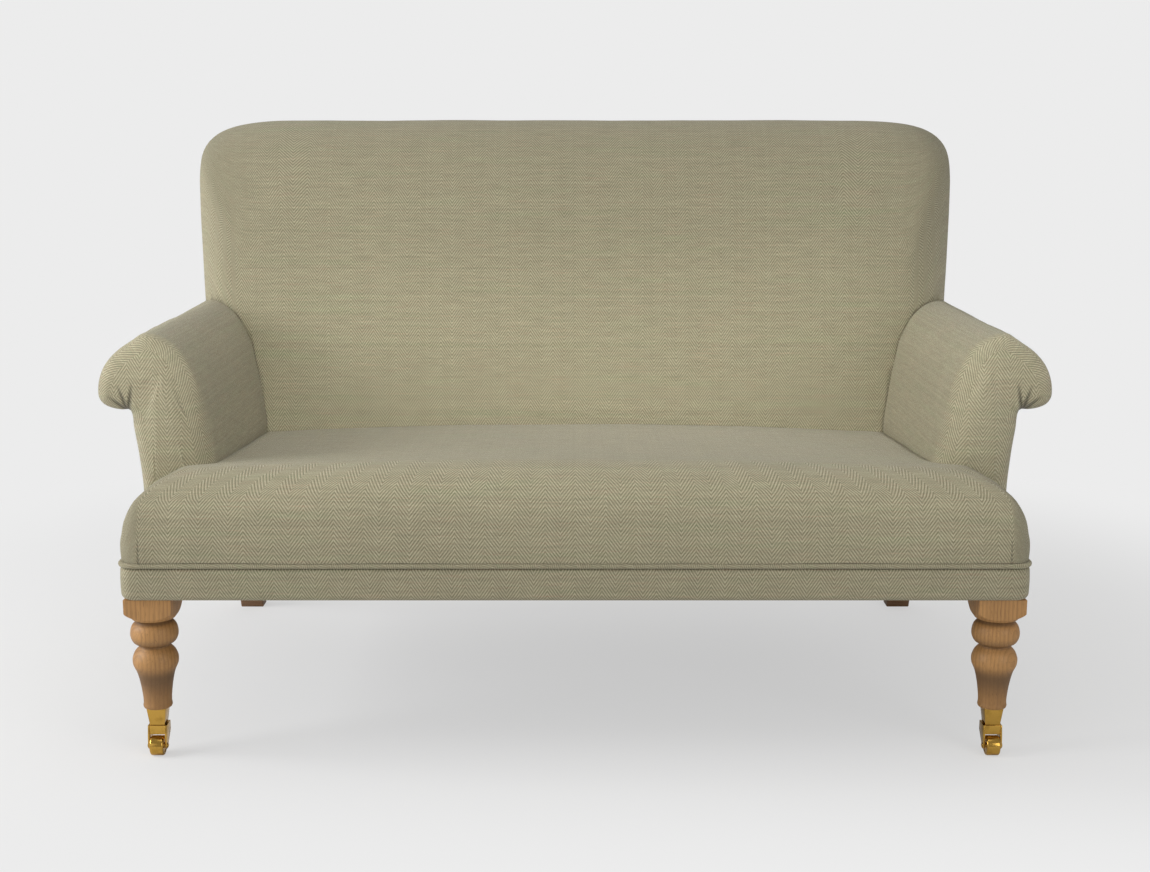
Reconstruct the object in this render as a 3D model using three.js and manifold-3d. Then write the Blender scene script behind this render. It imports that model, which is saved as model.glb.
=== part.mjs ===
// High back settee: hardwood frame, sprung seat, padded roll arms, turned front legs on brass castors.
// Millimetres: +X to the right of someone who faces the settee, +Y towards its back, +Z up.
// While the pieces are made, y is measured from the axis of the front legs; the last lines centre the whole.

import * as THREE from 'three';
import { mergeVertices } from 'three/addons/utils/BufferGeometryUtils.js';
import Module from 'manifold-3d';

const wasm = await Module();
wasm.setup();

// Clearances and tolerances
const gap = 0.3;
const cutOverrun = 40;
const weldTolerance = 0.001;
const halfShare = 0.5;

// Seat box
const boxHalfWidth = 706;
const boxFront = 45;
const boxBottom = 263;
const borderHeight = 52;
const borderThickness = 12;
const borderRadius = 4;
const boxCornerRadius = 24;
const weltRadius = 4.5;
const weltProud = 2.5;

// Seat rails
const railHeight = 97;
const railThickness = 32;
const cornerPost = 60;
const centreRailWidth = 45;
const centreRailHeight = 34;
const braceLeg = 70;
const braceHeight = 60;

// Seat padding
const seatInset = 3;
const seatSideBulge = 4;
const seatEdgeRadius = 80;
const seatCornerRadius = 38;
const seatCrown = 470;
const seatCrownY = 40;
const seatRearFall = 39;
const seatSideFall = 22;
const seatRearSetback = 35;
const springRecessTop = 401;
const springRecessSide = 10;
const springRecessRear = 522;

// Back
const backFootY = 735;
const backRake = 5 * THREE.MathUtils.DEG2RAD;
const backPanelThickness = 10;
const backPanelInset = 5;
const backPostDepth = 40;
const backHeight = 994;
const backOverhang = 27;
const backLowerTaper = 28;
const backCornerAcross = 230;
const backCornerDown = 115;
const backFaceY = 560;
const backFaceZ = 431;
const backFaceRake = 8 * THREE.MathUtils.DEG2RAD;
const backSideRoundIn = 95;
const backSideRoundDepth = 106;
const backTopRoundDown = 220;
const backTopRoundDepth = 140;
const backCrown = 9;
const backPostTopDrop = 48;
const topRailHeight = 70;
const midRailHeight = 60;
const midRailZ = 470;
const backWebThickness = 2;

// Arms
const armWidth = 186;
const armOverhang = 64;
const armSideInset = 4.8;
const armTop = 661.5;
const armFront = 100;
const armFrontRound = 24;
const outsideArmThickness = 6;
const outsideArmProud = 0.4;
const armRailWidth = 58;
const armRailHeight = 30;
const armRailInset = 112;
const armRailZ = 572;
const armPostWidth = 34;
const armPostDepth = 32;
const armPostSetback = 14;
const armLowRailZ = 404;
const armLowRailHeight = 34;

// Back legs
const backLegWidth = 46;
const backFootFront = 790;
const backFootDepth = 36;

// Front legs and castors
const legInset = 42;
const legBlock = 74;
const legBlockHeight = 22.5;
const legBlockSag = 10.8;
const legNeckDrop = 6.7;
const legFoot = 78;
const legWeld = 4;
const legDowelRadius = 12.5;
const legDowelHeight = 58;
const cupTopSize = 30.5;
const cupBottomSize = 23.5;
const cupBottom = 49.3;
const cupWall = 1.6;
const cupFloor = 3;
const pinRadius = 3;
const pinHeadRadius = 5;
const pinHeadHeight = 2;
const yokeCrown = 9;
const yokeHalfWidth = 15;
const yokePlate = 3;
const yokeBoss = 5.6;
const yokeReach = 13;
const castorTrail = 12;
const wheelRadius = 15.9;
const wheelWidth = 21.6;
const wheelEdge = 3;
const axleRadius = 2.5;
const axleHeadRadius = 4.2;
const axleHeadHeight = 1.4;

// Springs and sheets
const springSideRoom = 90;
const springPitch = 290;
const springFrontY = 150;
const springRearY = 385;
const springWire = 2;
const springRadius = 40;
const springWaist = 25;
const springTurns = 5;
const seatWebThickness = 2;
const sheetInset = 30;
const dustCoverThickness = 1.4;

// Shares of the back's outline
const backCornerPowerShare = 0.57;
const backSideShares = [0, 0.33, 0.66];
const backInnerShares = [0.5, 1];

// Facets
const backCornerSteps = 8;
const backRoundSteps = 6;
const roundSides = 24;
const smallSides = 12;
const wireSides = 5;
const stepsPerTurn = 8;
const cornerSteps = 4;
const edgeSteps = 4;

const backPanelY = (z) => backFootY + (z - boxBottom) * Math.tan(backRake);
const frameRearY = (z) => backPanelY(z) - backPanelThickness - gap;
const postFrontY = (z) => frameRearY(z) - backPostDepth;
const backFace = (z) => backFaceY + (z - backFaceZ) * Math.tan(backFaceRake);

const seatHalfWidth = boxHalfWidth - seatInset;
const backHalfWidth = boxHalfWidth + backOverhang;
const armRollX = boxHalfWidth + armOverhang;
const armInnerX = armRollX - armWidth;
const armSideX = boxHalfWidth - armSideInset;
const armRailX = armRollX - armRailInset;
const legX = boxHalfWidth - legInset;
const springRecessHalfWidth = armInnerX - springRecessSide;
const seatFormDepth = backFootY - seatRearSetback + boxFront;
const springOuterX = springRecessHalfWidth - springSideRoom;
const springInnerX = springOuterX - springPitch;
const springColumns = [-springOuterX, -springInnerX, springInnerX, springOuterX];
const springRows = [springFrontY, springRearY];
const railBottom = boxBottom;
const railTop = railBottom + railHeight;
const weltZ = boxBottom + borderHeight + gap + weltRadius;
const paddingBottom = weltZ + weltRadius + gap;
const railOuterX = boxHalfWidth - borderThickness - gap;
const railInnerX = railOuterX - railThickness;
const railFrontY = borderThickness + gap - boxFront;
const legBlockCorner = boxBottom - legBlockHeight;
const legBlockDip = legBlockCorner - legBlockSag;
const legNeck = legBlockDip - legNeckDrop;
const wheelCentreY = -castorTrail;
const wheelCentreZ = wheelRadius;

// Finishes
const wood = { color: 0x9b7549, roughness: 0.45, metalness: 0 };
const darkWood = { color: 0x5e4029, roughness: 0.4, metalness: 0 };
const frameWood = { color: 0xcbb187, roughness: 0.8, metalness: 0 };
const brass = { color: 0xb08a35, roughness: 0.2, metalness: 1 };
const steel = { color: 0x9a9ca0, roughness: 0.4, metalness: 1 };
const cloth = { color: 0xa09b80, roughness: 0.95, metalness: 0 };
const jute = { color: 0xa98f62, roughness: 0.95, metalness: 0 };
const lining = { color: 0x2b2b2b, roughness: 0.95, metalness: 0 };

/** Keeps only positions and welds the corners that meet. */
function welded(geometry) {
  const bare = geometry.clone();
  bare.deleteAttribute('normal');
  bare.deleteAttribute('uv');
  return mergeVertices(bare, weldTolerance);
}

/** A closed geometry as a solid that can be cut and joined. */
function solid(geometry) {
  const clean = welded(geometry);
  return new wasm.Manifold(new wasm.Mesh({
    numProp: 3,
    vertProperties: new Float32Array(clean.attributes.position.array),
    triVerts: new Uint32Array(clean.index.array),
  }));
}

/** The geometry of a cut or joined solid. */
function surface(shape) {
  const mesh = shape.getMesh();
  const geometry = new THREE.BufferGeometry();
  geometry.setAttribute('position', new THREE.BufferAttribute(mesh.vertProperties, mesh.numProp));
  geometry.setIndex(new THREE.BufferAttribute(mesh.triVerts, 1));
  return geometry;
}

const joined = (shapes) => shapes.reduce((all, shape) => all.add(shape));
const cut = (shape, cutters) => cutters.reduce((left, cutter) => left.subtract(cutter), shape);

/** A box from its two corners, grown on every side by the given clearance. */
function block(low, high, grow = 0) {
  const size = high.clone().sub(low).addScalar(grow + grow);
  const centre = low.clone().add(high).multiplyScalar(halfShare);
  return new THREE.BoxGeometry(size.x, size.y, size.z).translate(centre.x, centre.y, centre.z);
}

const at = (x, y, z) => new THREE.Vector3(x, y, z);
const flat = (x, y) => new THREE.Vector2(x, y);

/** Triangles of a flat outline, turned to run the same way round as the outline. */
function capTriangles(outline) {
  const way = Math.sign(THREE.ShapeUtils.area(outline));
  return THREE.ShapeUtils.triangulateShape(outline, []).map(([a, b, c]) => {
    const turn = Math.sign(THREE.ShapeUtils.area([outline[a], outline[b], outline[c]]));
    return turn === way ? [a, b, c] : [a, c, b];
  });
}

/** Faces between neighbouring outlines of a skin, two to each step round. */
function skinFaces(stations, count) {
  const faces = [];
  for (let station = 0; station < stations - 1; station += 1) {
    for (let i = 0; i < count; i += 1) {
      const a = station * count + i;
      const b = station * count + ((i + 1) % count);
      faces.push([a, b, b + count], [a, b + count, a + count]);
    }
  }
  return faces;
}

/** Faces pointing out of a closed skin, whichever way round they were listed. */
function facingOut(points, faces) {
  const volume = faces.reduce((sum, [a, b, c]) => sum + points[a].dot(points[b].clone().cross(points[c])), 0);
  const geometry = new THREE.BufferGeometry().setFromPoints(points);
  geometry.setIndex(faces.flatMap(([a, b, c]) => (volume > 0 ? [a, b, c] : [a, c, b])));
  return geometry;
}

/** A closed skin over outlines of equal length, each set in space by place(point, station). */
function loft(outlines, place) {
  const count = outlines[0].length;
  const last = outlines.length - 1;
  const points = outlines.flatMap((outline, station) => outline.map((point) => place(point, station)));
  const faces = skinFaces(outlines.length, count);
  capTriangles(outlines[0]).forEach(([a, b, c]) => faces.push([a, c, b]));
  capTriangles(outlines[last]).forEach((face) => faces.push(face.map((i) => last * count + i)));
  return facingOut(points, faces);
}

/** A skin whose two ends fan out from a point of their own, for outlines with points along straight sides. */
function fannedLoft(outlines, place, heart) {
  const count = outlines[0].length;
  const last = outlines.length - 1;
  const points = outlines.flatMap((outline, station) => outline.map((point) => place(point, station)));
  const faces = skinFaces(outlines.length, count);
  const ends = [0, last].map((station) => points.push(place(heart(outlines[station]), station)) - 1);
  for (let i = 0; i < count; i += 1) {
    const next = (i + 1) % count;
    faces.push([ends[0], next, i], [ends[1], last * count + i, last * count + next]);
  }
  return facingOut(points, faces);
}

/** The middle of an outline's points. */
const middleOf = (outline) => (
  outline.reduce((sum, point) => sum.add(point), flat(0, 0)).divideScalar(outline.length));

/** An outline in the Y-Z plane, pushed along X between two faces. */
function sidePlate(outline, fromX, toX) {
  return loft([outline, outline], (point, station) => at(station === 0 ? fromX : toX, point.x, point.y));
}

/** The same solid on the other side of the settee. */
function mirrored(geometry) {
  const other = geometry.clone().applyMatrix4(new THREE.Matrix4().makeScale(-1, 1, 1));
  const index = other.index ? Array.from(other.index.array) : [...other.attributes.position.array.keys()];
  const count = other.index ? index.length : other.attributes.position.count;
  const turned = [];
  for (let i = 0; i < count; i += 3) turned.push(index[i], index[i + 2], index[i + 1]);
  other.setIndex(turned);
  return other;
}

/** A rectangle with round corners, anticlockwise. */
function roundedRectangle(low, high, radius, steps = cornerSteps) {
  const centres = [
    [high.x - radius, low.y + radius, -Math.PI / 2], [high.x - radius, high.y - radius, 0],
    [low.x + radius, high.y - radius, Math.PI / 2], [low.x + radius, low.y + radius, Math.PI],
  ];
  return centres.flatMap(([x, y, start]) => Array.from({ length: steps + 1 }, (unused, step) => {
    const angle = start + (step / steps) * Math.PI * halfShare;
    return flat(x + radius * Math.cos(angle), y + radius * Math.sin(angle));
  }));
}

/** An outline drawn in by a distance along the average of its two edge normals at each point. */
function drawnIn(outline, distance) {
  const way = Math.sign(THREE.ShapeUtils.area(outline));
  return outline.map((point, i) => {
    const before = outline[(i + outline.length - 1) % outline.length];
    const after = outline[(i + 1) % outline.length];
    const along = point.clone().sub(before).normalize().add(after.clone().sub(point).normalize()).normalize();
    return flat(point.x - along.y * distance * way, point.y + along.x * distance * way);
  });
}

/** A solid of revolution about Z from points of radius and height. */
function turned(profile, sides = roundSides) {
  return welded(new THREE.LatheGeometry(profile, sides).rotateX(Math.PI / 2));
}

/** Cuts away all that lies behind a face that leans back from its foot. */
function behind(faceY) {
  const far = cutOverrun * cutOverrun;
  const outline = [
    flat(faceY(-cutOverrun), -cutOverrun), flat(faceY(far), far), flat(far, far), flat(far, -cutOverrun)];
  return solid(sidePlate(outline, -far, far));
}

const settee = new THREE.Group();

function addPart(name, geometry, finish, parent = settee) {
  const shaded = geometry.index ? geometry.toNonIndexed() : geometry;
  shaded.computeVertexNormals();
  const mesh = new THREE.Mesh(shaded, new THREE.MeshStandardMaterial(finish));
  mesh.name = name;
  parent.add(mesh);
  return mesh;
}

/** A part of the right side with its twin on the left. */
function addPair(name, geometry, finish) {
  addPart(`${name}_right`, geometry, finish);
  addPart(`${name}_left`, mirrored(geometry), finish);
}

const bothSides = (geometry) => [solid(geometry), solid(mirrored(geometry))];

// Seat frame

const innerPost = railOuterX - cornerPost;
const postRearY = railFrontY + cornerPost;
const backLegInnerX = railOuterX - backLegWidth;

/** The raked back leg and the back upright above it, sawn from one plank. */
function backLegOutline(grow = 0) {
  const top = backHeight - backPostTopDrop + grow;
  const bend = railTop;
  const low = [flat(backFootFront - grow, 0), flat(postFrontY(railBottom) - grow, railBottom - grow)];
  const front = [flat(postFrontY(bend) - grow, bend), flat(postFrontY(top) - grow, top)];
  const rear = [flat(frameRearY(top) + grow, top), flat(frameRearY(railBottom) + grow, railBottom)];
  return [...low, ...front, ...rear, flat(backFootFront + backFootDepth + grow, 0)];
}

const backLeg = (grow = 0) => sidePlate(backLegOutline(grow), backLegInnerX - grow, railOuterX + grow);

/** A square post whose edges follow the round corner of the seat box. */
function cornerPostShape(grow = 0) {
  const round = boxCornerRadius - borderThickness - gap + grow;
  const outline = roundedRectangle(
    flat(innerPost - grow, railFrontY - grow), flat(railOuterX + grow, postRearY + grow), round);
  return loft([outline, outline], (point, station) => (
    at(point.x, point.y, station === 0 ? railBottom - grow : railTop + grow)));
}

const frontRail = (grow = 0) => block(
  at(-innerPost + gap, railFrontY, railBottom),
  at(innerPost - gap, railFrontY + railThickness, railTop), grow);

const sideRailRearY = postFrontY(railTop) - gap;
const sideRail = (grow = 0) => sidePlate([
  flat(postRearY + gap - grow, railBottom - grow),
  flat(postFrontY(railBottom) - gap + grow, railBottom - grow),
  flat(sideRailRearY + grow, railTop + grow), flat(postRearY + gap - grow, railTop + grow),
], railInnerX - grow, railOuterX + grow);

/** A board between the back posts that leans with them. */
const crossRail = (low, height, grow = 0) => sidePlate([
  flat(frameRearY(low) - railThickness - grow, low - grow), flat(frameRearY(low) + grow, low - grow),
  flat(frameRearY(low + height) + grow, low + height + grow),
  flat(frameRearY(low + height) - railThickness - grow, low + height + grow),
], gap - backLegInnerX, backLegInnerX - gap);

const topRailZ = backHeight - backPostTopDrop - topRailHeight;
const rearRail = (grow = 0) => crossRail(railBottom, railHeight, grow);
const midRail = (grow = 0) => crossRail(midRailZ, midRailHeight, grow);
const topRail = (grow = 0) => crossRail(topRailZ, topRailHeight, grow);

/** The bored corner post that takes the dowel of a front leg. */
function boredCornerPost() {
  const bore = new THREE.CylinderGeometry(legDowelRadius + gap, legDowelRadius + gap,
    legDowelHeight + legDowelHeight + gap, roundSides).rotateX(Math.PI / 2).translate(legX, 0, railBottom);
  return surface(solid(cornerPostShape()).subtract(solid(bore)));
}

/** A cornered brace in the angle of the rear and side rails, notched round the back upright. */
function rearBrace() {
  const postY = postFrontY(railBottom) - gap;
  const railY = frameRearY(railBottom) - railThickness - gap;
  const sideX = railInnerX - gap;
  const postX = backLegInnerX - gap;
  const outline = [flat(sideX, postY), flat(sideX, postY - braceLeg), flat(postX - braceLeg, railY),
    flat(postX, railY), flat(postX, postY)];
  const place = (point, station) => at(point.x, point.y, railBottom + station * braceHeight);
  return loft([outline, outline], place);
}

const centreRailRearY = frameRearY(railBottom) - railThickness - gap;
const centreRail = () => block(
  at(-centreRailWidth * halfShare, railFrontY + railThickness + gap, railBottom),
  at(centreRailWidth * halfShare, centreRailRearY, railBottom + centreRailHeight));

function addSeatFrame() {
  addPart('front_seat_rail', frontRail(), frameWood);
  addPart('rear_seat_rail', rearRail(), frameWood);
  addPart('centre_seat_rail', centreRail(), frameWood);
  addPair('side_seat_rail', sideRail(), frameWood);
  addPair('front_corner_post', boredCornerPost(), frameWood);
  addPair('rear_corner_brace', rearBrace(), frameWood);
}

function addBackFrame() {
  addPair('back_leg_and_upright', backLeg(), darkWood);
  addPart('back_top_rail', topRail(), frameWood);
  addPart('back_lower_rail', midRail(), frameWood);
}

// Arm frame

const armPostY = armFront + armPostSetback;
const armRailRearY = (z) => postFrontY(z) - gap;
const armPost = (grow = 0) => block(
  at(armRailX, armPostY, railTop + gap),
  at(armRailX + armPostWidth, armPostY + armPostDepth, armRailZ - gap), grow);

const armRail = (grow = 0) => sidePlate([
  flat(armPostY - grow, armRailZ - grow), flat(armRailRearY(armRailZ) + grow, armRailZ - grow),
  flat(armRailRearY(armRailZ + armRailHeight) + grow, armRailZ + armRailHeight + grow),
  flat(armPostY - grow, armRailZ + armRailHeight + grow),
], armRailX - grow, armRailX + armRailWidth + grow);

const armLowRail = (grow = 0) => sidePlate([
  flat(armPostY + armPostDepth + gap - grow, armLowRailZ - grow),
  flat(armRailRearY(armLowRailZ) + grow, armLowRailZ - grow),
  flat(armRailRearY(armLowRailZ + armLowRailHeight) + grow, armLowRailZ + armLowRailHeight + grow),
  flat(armPostY + armPostDepth + gap - grow, armLowRailZ + armLowRailHeight + grow),
], armRailX - grow, armRailX + armPostWidth + grow);

function addArmFrames() {
  addPair('arm_front_post', armPost(), frameWood);
  addPair('arm_top_rail', armRail(), frameWood);
  addPair('arm_stuffing_rail', armLowRail(), frameWood);
}

// Every timber that the padding is fitted round, grown by the clearance
const timberPockets = () => [
  ...[frontRail, rearRail, midRail, topRail].map((shape) => solid(shape(gap))),
  ...[backLeg, cornerPostShape, sideRail, armPost, armRail, armLowRail]
    .flatMap((shape) => bothSides(shape(gap))),
];

// Arm padding

// The section of an arm seen from the front, from the inner face over and under the roll: across and up
const armRollShares = [
  [0, 0], [0, 0.2], [0.002, 0.33], [0.03, 0.43], [0.085, 0.61], [0.145, 0.765], [0.21, 0.862], [0.285, 0.93],
  [0.385, 0.974], [0.5, 0.997], [0.6, 0.997], [0.705, 0.957], [0.8, 0.92], [0.88, 0.879], [0.945, 0.829],
  [0.985, 0.772], [1, 0.716], [0.99, 0.672], [0.945, 0.643], [0.87, 0.629], [0.79, 0.624], [0.712, 0.622],
];

// The outside of an arm below the roll: share of the way out to the roll, and up
const armSideShares = [[0.168, 0.54], [0.087, 0.41], [0.019, 0.25], [0, 0]];
const armHeight = armTop - paddingBottom;
const armSection = [
  ...armRollShares.map(([across, up]) => flat(armInnerX + across * armWidth, paddingBottom + up * armHeight)),
  ...armSideShares.map(([out, up]) => (
    flat(armSideX + out * (armRollX - armSideX), paddingBottom + up * armHeight))),
];
const armHeartShares = [0.43, 0.82];
const armHeart = flat(
  armInnerX + armHeartShares[0] * armWidth, paddingBottom + armHeartShares[1] * armHeight);
const armRoundShares = [[0, 1], [0.1, 0.56], [0.34, 0.25], [0.66, 0.08], [1, 0]];

/** The whole arm, its front edge rounded over, before it is fitted round the timbers. */
function armForm(grow = 0) {
  const section = drawnIn(armSection, -grow);
  const rounds = armRoundShares.map(([back, inward]) => (
    [armFront - grow + back * armFrontRound, inward * armFrontRound]));
  const stations = [...rounds, [backPanelY(armTop) + cutOverrun, 0]];
  const outlines = stations.map(([, inward]) => drawnIn(section, inward).map((point) => (
    flat(point.x, Math.max(point.y, paddingBottom - grow)))));
  return fannedLoft(outlines, (point, station) => at(point.x, stations[station][0], point.y), () => armHeart);
}

/** The thin padded panel on the outside of an arm, under the roll. */
function outsideArm(grow = 0) {
  const outer = armSection.slice(-armSideShares.length);
  const outline = drawnIn([
    ...outer.map((point) => flat(point.x + outsideArmProud, point.y)),
    ...outer.map((point) => flat(point.x - outsideArmThickness, point.y)).reverse(),
  ], -grow);
  const stations = [armFront + armFrontRound + gap - grow, backPanelY(armTop) + cutOverrun];
  return loft([outline, outline], (point, station) => at(point.x, stations[station], point.y));
}

// Back padding

/** The back seen from the front, drawn in at its sides and top, as a closed outline of width and height. */
function backOutline(sideIn, topIn, bottom = paddingBottom) {
  const top = backHeight - topIn;
  const wide = backHalfWidth - sideIn;
  const across = Math.max(backCornerAcross - sideIn, backCornerDown * halfShare);
  const down = Math.max(backCornerDown - topIn, backCornerDown * halfShare);
  const corner = Array.from({ length: backCornerSteps + 1 }, (unused, step) => {
    const angle = (step / backCornerSteps) * Math.PI * halfShare;
    return flat(wide - across + across * Math.cos(angle) ** backCornerPowerShare,
      top - down + down * Math.sin(angle) ** backCornerPowerShare);
  });
  const side = backSideShares.map((share) => flat(
    wide - backLowerTaper * (1 - share), bottom + share * (top - down - bottom)));
  const inner = backInnerShares.map((share) => share * (wide - across));
  const right = [
    ...inner.map((x) => flat(x, bottom)), ...side, ...corner, ...inner.reverse().map((x) => flat(x, top))];
  const left = right.map((point) => flat(-point.x, point.y)).reverse();
  return [flat(0, bottom), ...right, flat(0, top), ...left];
}

const backFillShares = [[0.2, 0.5], [0.5, 0.85], [0.8, 1]];
const backWallShares = [0, 0.5];

/** Depth of the rounded edge at a height: that of the sides up to the corners, then of the rolled top. */
const backRoundDepth = (z) => THREE.MathUtils.lerp(backSideRoundDepth, backTopRoundDepth,
  THREE.MathUtils.smoothstep(z, backHeight - backTopRoundDown, backHeight));

/** Stations of the back padding from rear to front: drawn in at sides, top and bottom, and y at a height. */
function backStations(grow) {
  const roundY = (z) => backFace(z) + backRoundDepth(z);
  const wall = backWallShares.map((share) => ({
    side: -grow, top: -grow, bottom: -grow,
    y: (z) => THREE.MathUtils.lerp(frameRearY(z) + grow, roundY(z), share) }));
  const round = Array.from({ length: backRoundSteps + 1 }, (unused, step) => {
    const angle = (step / backRoundSteps) * Math.PI * halfShare;
    const inward = 1 - Math.cos(angle);
    return { side: backSideRoundIn * inward - grow, top: backTopRoundDown * inward - grow, bottom: -grow,
      y: (z) => roundY(z) - backRoundDepth(z) * Math.sin(angle) - grow };
  });
  const room = (backHeight - backTopRoundDown - paddingBottom) * halfShare;
  const fill = backFillShares.map(([share, rise]) => ({
    side: backSideRoundIn + share * room, top: backTopRoundDown + share * room, bottom: share * room,
    y: (z) => backFace(z) - rise * backCrown - grow }));
  return [...wall, ...round, ...fill];
}

function backForm(grow = 0) {
  const stations = backStations(grow);
  const outlines = stations.map(({ side, top, bottom }) => backOutline(side, top, paddingBottom + bottom));
  const place = (point, station) => at(point.x, stations[station].y(point.y), point.y);
  return fannedLoft(outlines, place, middleOf);
}

// Seat padding

const seatWallShares = [[0, -0.4], [0.35, 0.6], [0.7, 1], [1, 0.4]];
const seatFillShares = [0.2, 0.5, 0.9];
const seatFallPowerShare = 0.85;
const seatInnerCornerShare = 0.3;
const sidePointShares = [0.12, 0.3, 0.5, 0.7, 0.88];

/** Height of the crowned seat at a place. */
function seatHeight(x, y) {
  const back = THREE.MathUtils.clamp((y - seatCrownY) / (backFaceY - seatCrownY), 0, 1);
  const side = x / seatHalfWidth;
  return seatCrown - seatRearFall * back ** seatFallPowerShare - seatSideFall * side * side;
}

/** Stations of the seat padding from its foot to its crown: how far drawn in, and the height at a place. */
function seatStations() {
  const wallTop = (x, y) => seatHeight(x, y) - seatEdgeRadius;
  const wall = seatWallShares.map(([up, bulge]) => [
    -bulge * seatSideBulge, (x, y) => paddingBottom + up * (wallTop(x, y) - paddingBottom)]);
  const round = Array.from({ length: edgeSteps }, (unused, step) => {
    const angle = ((step + 1) / edgeSteps) * Math.PI * halfShare;
    const up = seatEdgeRadius * Math.sin(angle);
    return [seatEdgeRadius * (1 - Math.cos(angle)), (x, y) => wallTop(x, y) + up];
  });
  const fill = seatFillShares.map((share) => [
    seatEdgeRadius + share * (seatFormDepth * halfShare - seatEdgeRadius), seatHeight]);
  return [...wall, ...round, ...fill];
}

/** The whole seat, front corners rounded, before the arms, back, timbers and springs are cut out of it. */
function seatForm() {
  const stations = seatStations();
  const outlines = stations.map(([inward]) => longRectangle(
    flat(inward - seatHalfWidth, inward - boxFront),
    flat(seatHalfWidth - inward, seatFormDepth - boxFront - inward),
    Math.max(seatCornerRadius - inward, seatCornerRadius * seatInnerCornerShare)));
  const place = (point, station) => at(point.x, point.y, stations[station][1](point.x, point.y));
  return fannedLoft(outlines, place, middleOf);
}

/** A round-cornered rectangle with extra points along its sides, so that a crown shows on it. */
function longRectangle(low, high, radius) {
  const corners = roundedRectangle(low, high, radius);
  const perCorner = cornerSteps + 1;
  return corners.flatMap((point, i) => {
    if ((i + 1) % perCorner !== 0) return [point];
    const next = corners[(i + 1) % corners.length];
    return [point, ...sidePointShares.map((share) => point.clone().lerp(next, share))];
  });
}

/** A box that leans with the back between two heights, from one face to another. */
const leaning = (halfWidth, nearY, farY, low, high) => sidePlate([
  flat(nearY(low), low), flat(farY(low), low),
  flat(farY(high), high), flat(nearY(high), high)], -halfWidth, halfWidth);

const backWebLow = railTop + railThickness;
const backWebHigh = topRailZ + topRailHeight - railThickness;
const backWebHalfWidth = armRailX - gap - gap;
const backWeb = (grow = 0) => leaning(backWebHalfWidth + grow,
  (z) => postFrontY(z) - gap - backWebThickness - grow, (z) => postFrontY(z) - gap + grow,
  backWebLow - grow, backWebHigh + grow);

/** The empty space behind the back webbing, between the uprights. */
const backHollow = () => leaning(
  backLegInnerX - gap, (z) => postFrontY(z) - gap, (z) => frameRearY(z) + cutOverrun,
  railTop, topRailZ + gap);

/** What lies outside the arms, so that no sliver of padding is left there. */
function besideArms(innerX, frontY, high) {
  const far = cutOverrun * cutOverrun;
  return bothSides(block(at(innerX, frontY, -far), at(far, far, high)));
}

const springRecess = () => block(
  at(-springRecessHalfWidth, railFrontY + railThickness + gap, -cutOverrun),
  at(springRecessHalfWidth, springRecessRear, springRecessTop));

function addPadding() {
  const pockets = joined(timberPockets());
  const rearCut = behind(frameRearY);
  const arms = bothSides(armForm(gap));
  const backSides = besideArms(armRailX, -cutOverrun, armRailZ + armRailHeight);
  const back = cut(
    solid(backForm()), [...arms, ...backSides, pockets, solid(backWeb(gap)), solid(backHollow())]);
  const seat = cut(solid(seatForm()), [
    ...arms, ...besideArms(armInnerX, armFront + armFrontRound, backHeight),
    solid(backForm(gap)), pockets, solid(springRecess())]);
  const arm = cut(solid(armForm()), [
    pockets, solid(outsideArm(gap)), rearCut, solid(backWeb(gap)), solid(backHollow())]);
  addPart('seat_padding', surface(seat), cloth);
  addPart('inside_back_padding', surface(back), cloth);
  addPair('arm_padding', surface(arm), cloth);
  addPair('outside_arm_panel', surface(cut(solid(outsideArm()), [rearCut])), cloth);
  addPart('back_webbing', backWeb(), jute);
}

/** The board and cover that close the back. */
function outsideBack() {
  const stations = [
    [backPanelInset, (z) => backPanelY(z) - backPanelThickness],
    [backPanelInset, (z) => backPanelY(z) - backPanelThickness * halfShare],
    [backPanelInset + backPanelThickness * halfShare, backPanelY],
  ];
  const outlines = stations.map(([inward]) => backOutline(inward, inward, boxBottom + gap));
  const place = (point, station) => at(point.x, stations[station][1](point.y), point.y);
  return fannedLoft(outlines, place, middleOf);
}

// Border and welt round the seat box

/** Points and outward directions round the front and sides of the seat box, from right rear to left rear. */
function boxPath() {
  const rearY = frameRearY(boxBottom);
  const centre = flat(boxHalfWidth - boxCornerRadius, boxCornerRadius - boxFront);
  const corner = Array.from({ length: cornerSteps + 1 }, (unused, step) => {
    const angle = -(step / cornerSteps) * Math.PI * halfShare;
    const out = flat(Math.cos(angle), Math.sin(angle));
    return { x: centre.x + boxCornerRadius * out.x, y: centre.y + boxCornerRadius * out.y, out };
  });
  const right = [{ x: boxHalfWidth, y: rearY, out: flat(1, 0) }, ...corner];
  const left = right.map(({ x, y, out }) => ({ x: -x, y, out: flat(-out.x, out.y) })).reverse();
  return [...right, ...left];
}

/** A section of outward distance and height carried round the seat box. */
function roundTheBox(section) {
  const path = boxPath();
  return loft(path.map(() => section), (point, station) => {
    const { x, y, out } = path[station];
    return at(x + out.x * point.x, y + out.y * point.x, point.y);
  });
}

const borderSection = () => roundedRectangle(
  flat(-borderThickness, boxBottom), flat(0, boxBottom + borderHeight), borderRadius);

/** Half round outside, flat inside, where the cord's tape runs back to the rail. */
function weltSection() {
  const centre = weltProud - weltRadius;
  const round = Array.from({ length: stepsPerTurn + 1 }, (unused, step) => {
    const angle = (step / stepsPerTurn - halfShare) * Math.PI;
    return flat(centre + weltRadius * Math.cos(angle), weltZ + weltRadius * Math.sin(angle));
  });
  return [...round, flat(-borderThickness, weltZ + weltRadius), flat(-borderThickness, weltZ - weltRadius)];
}

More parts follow.
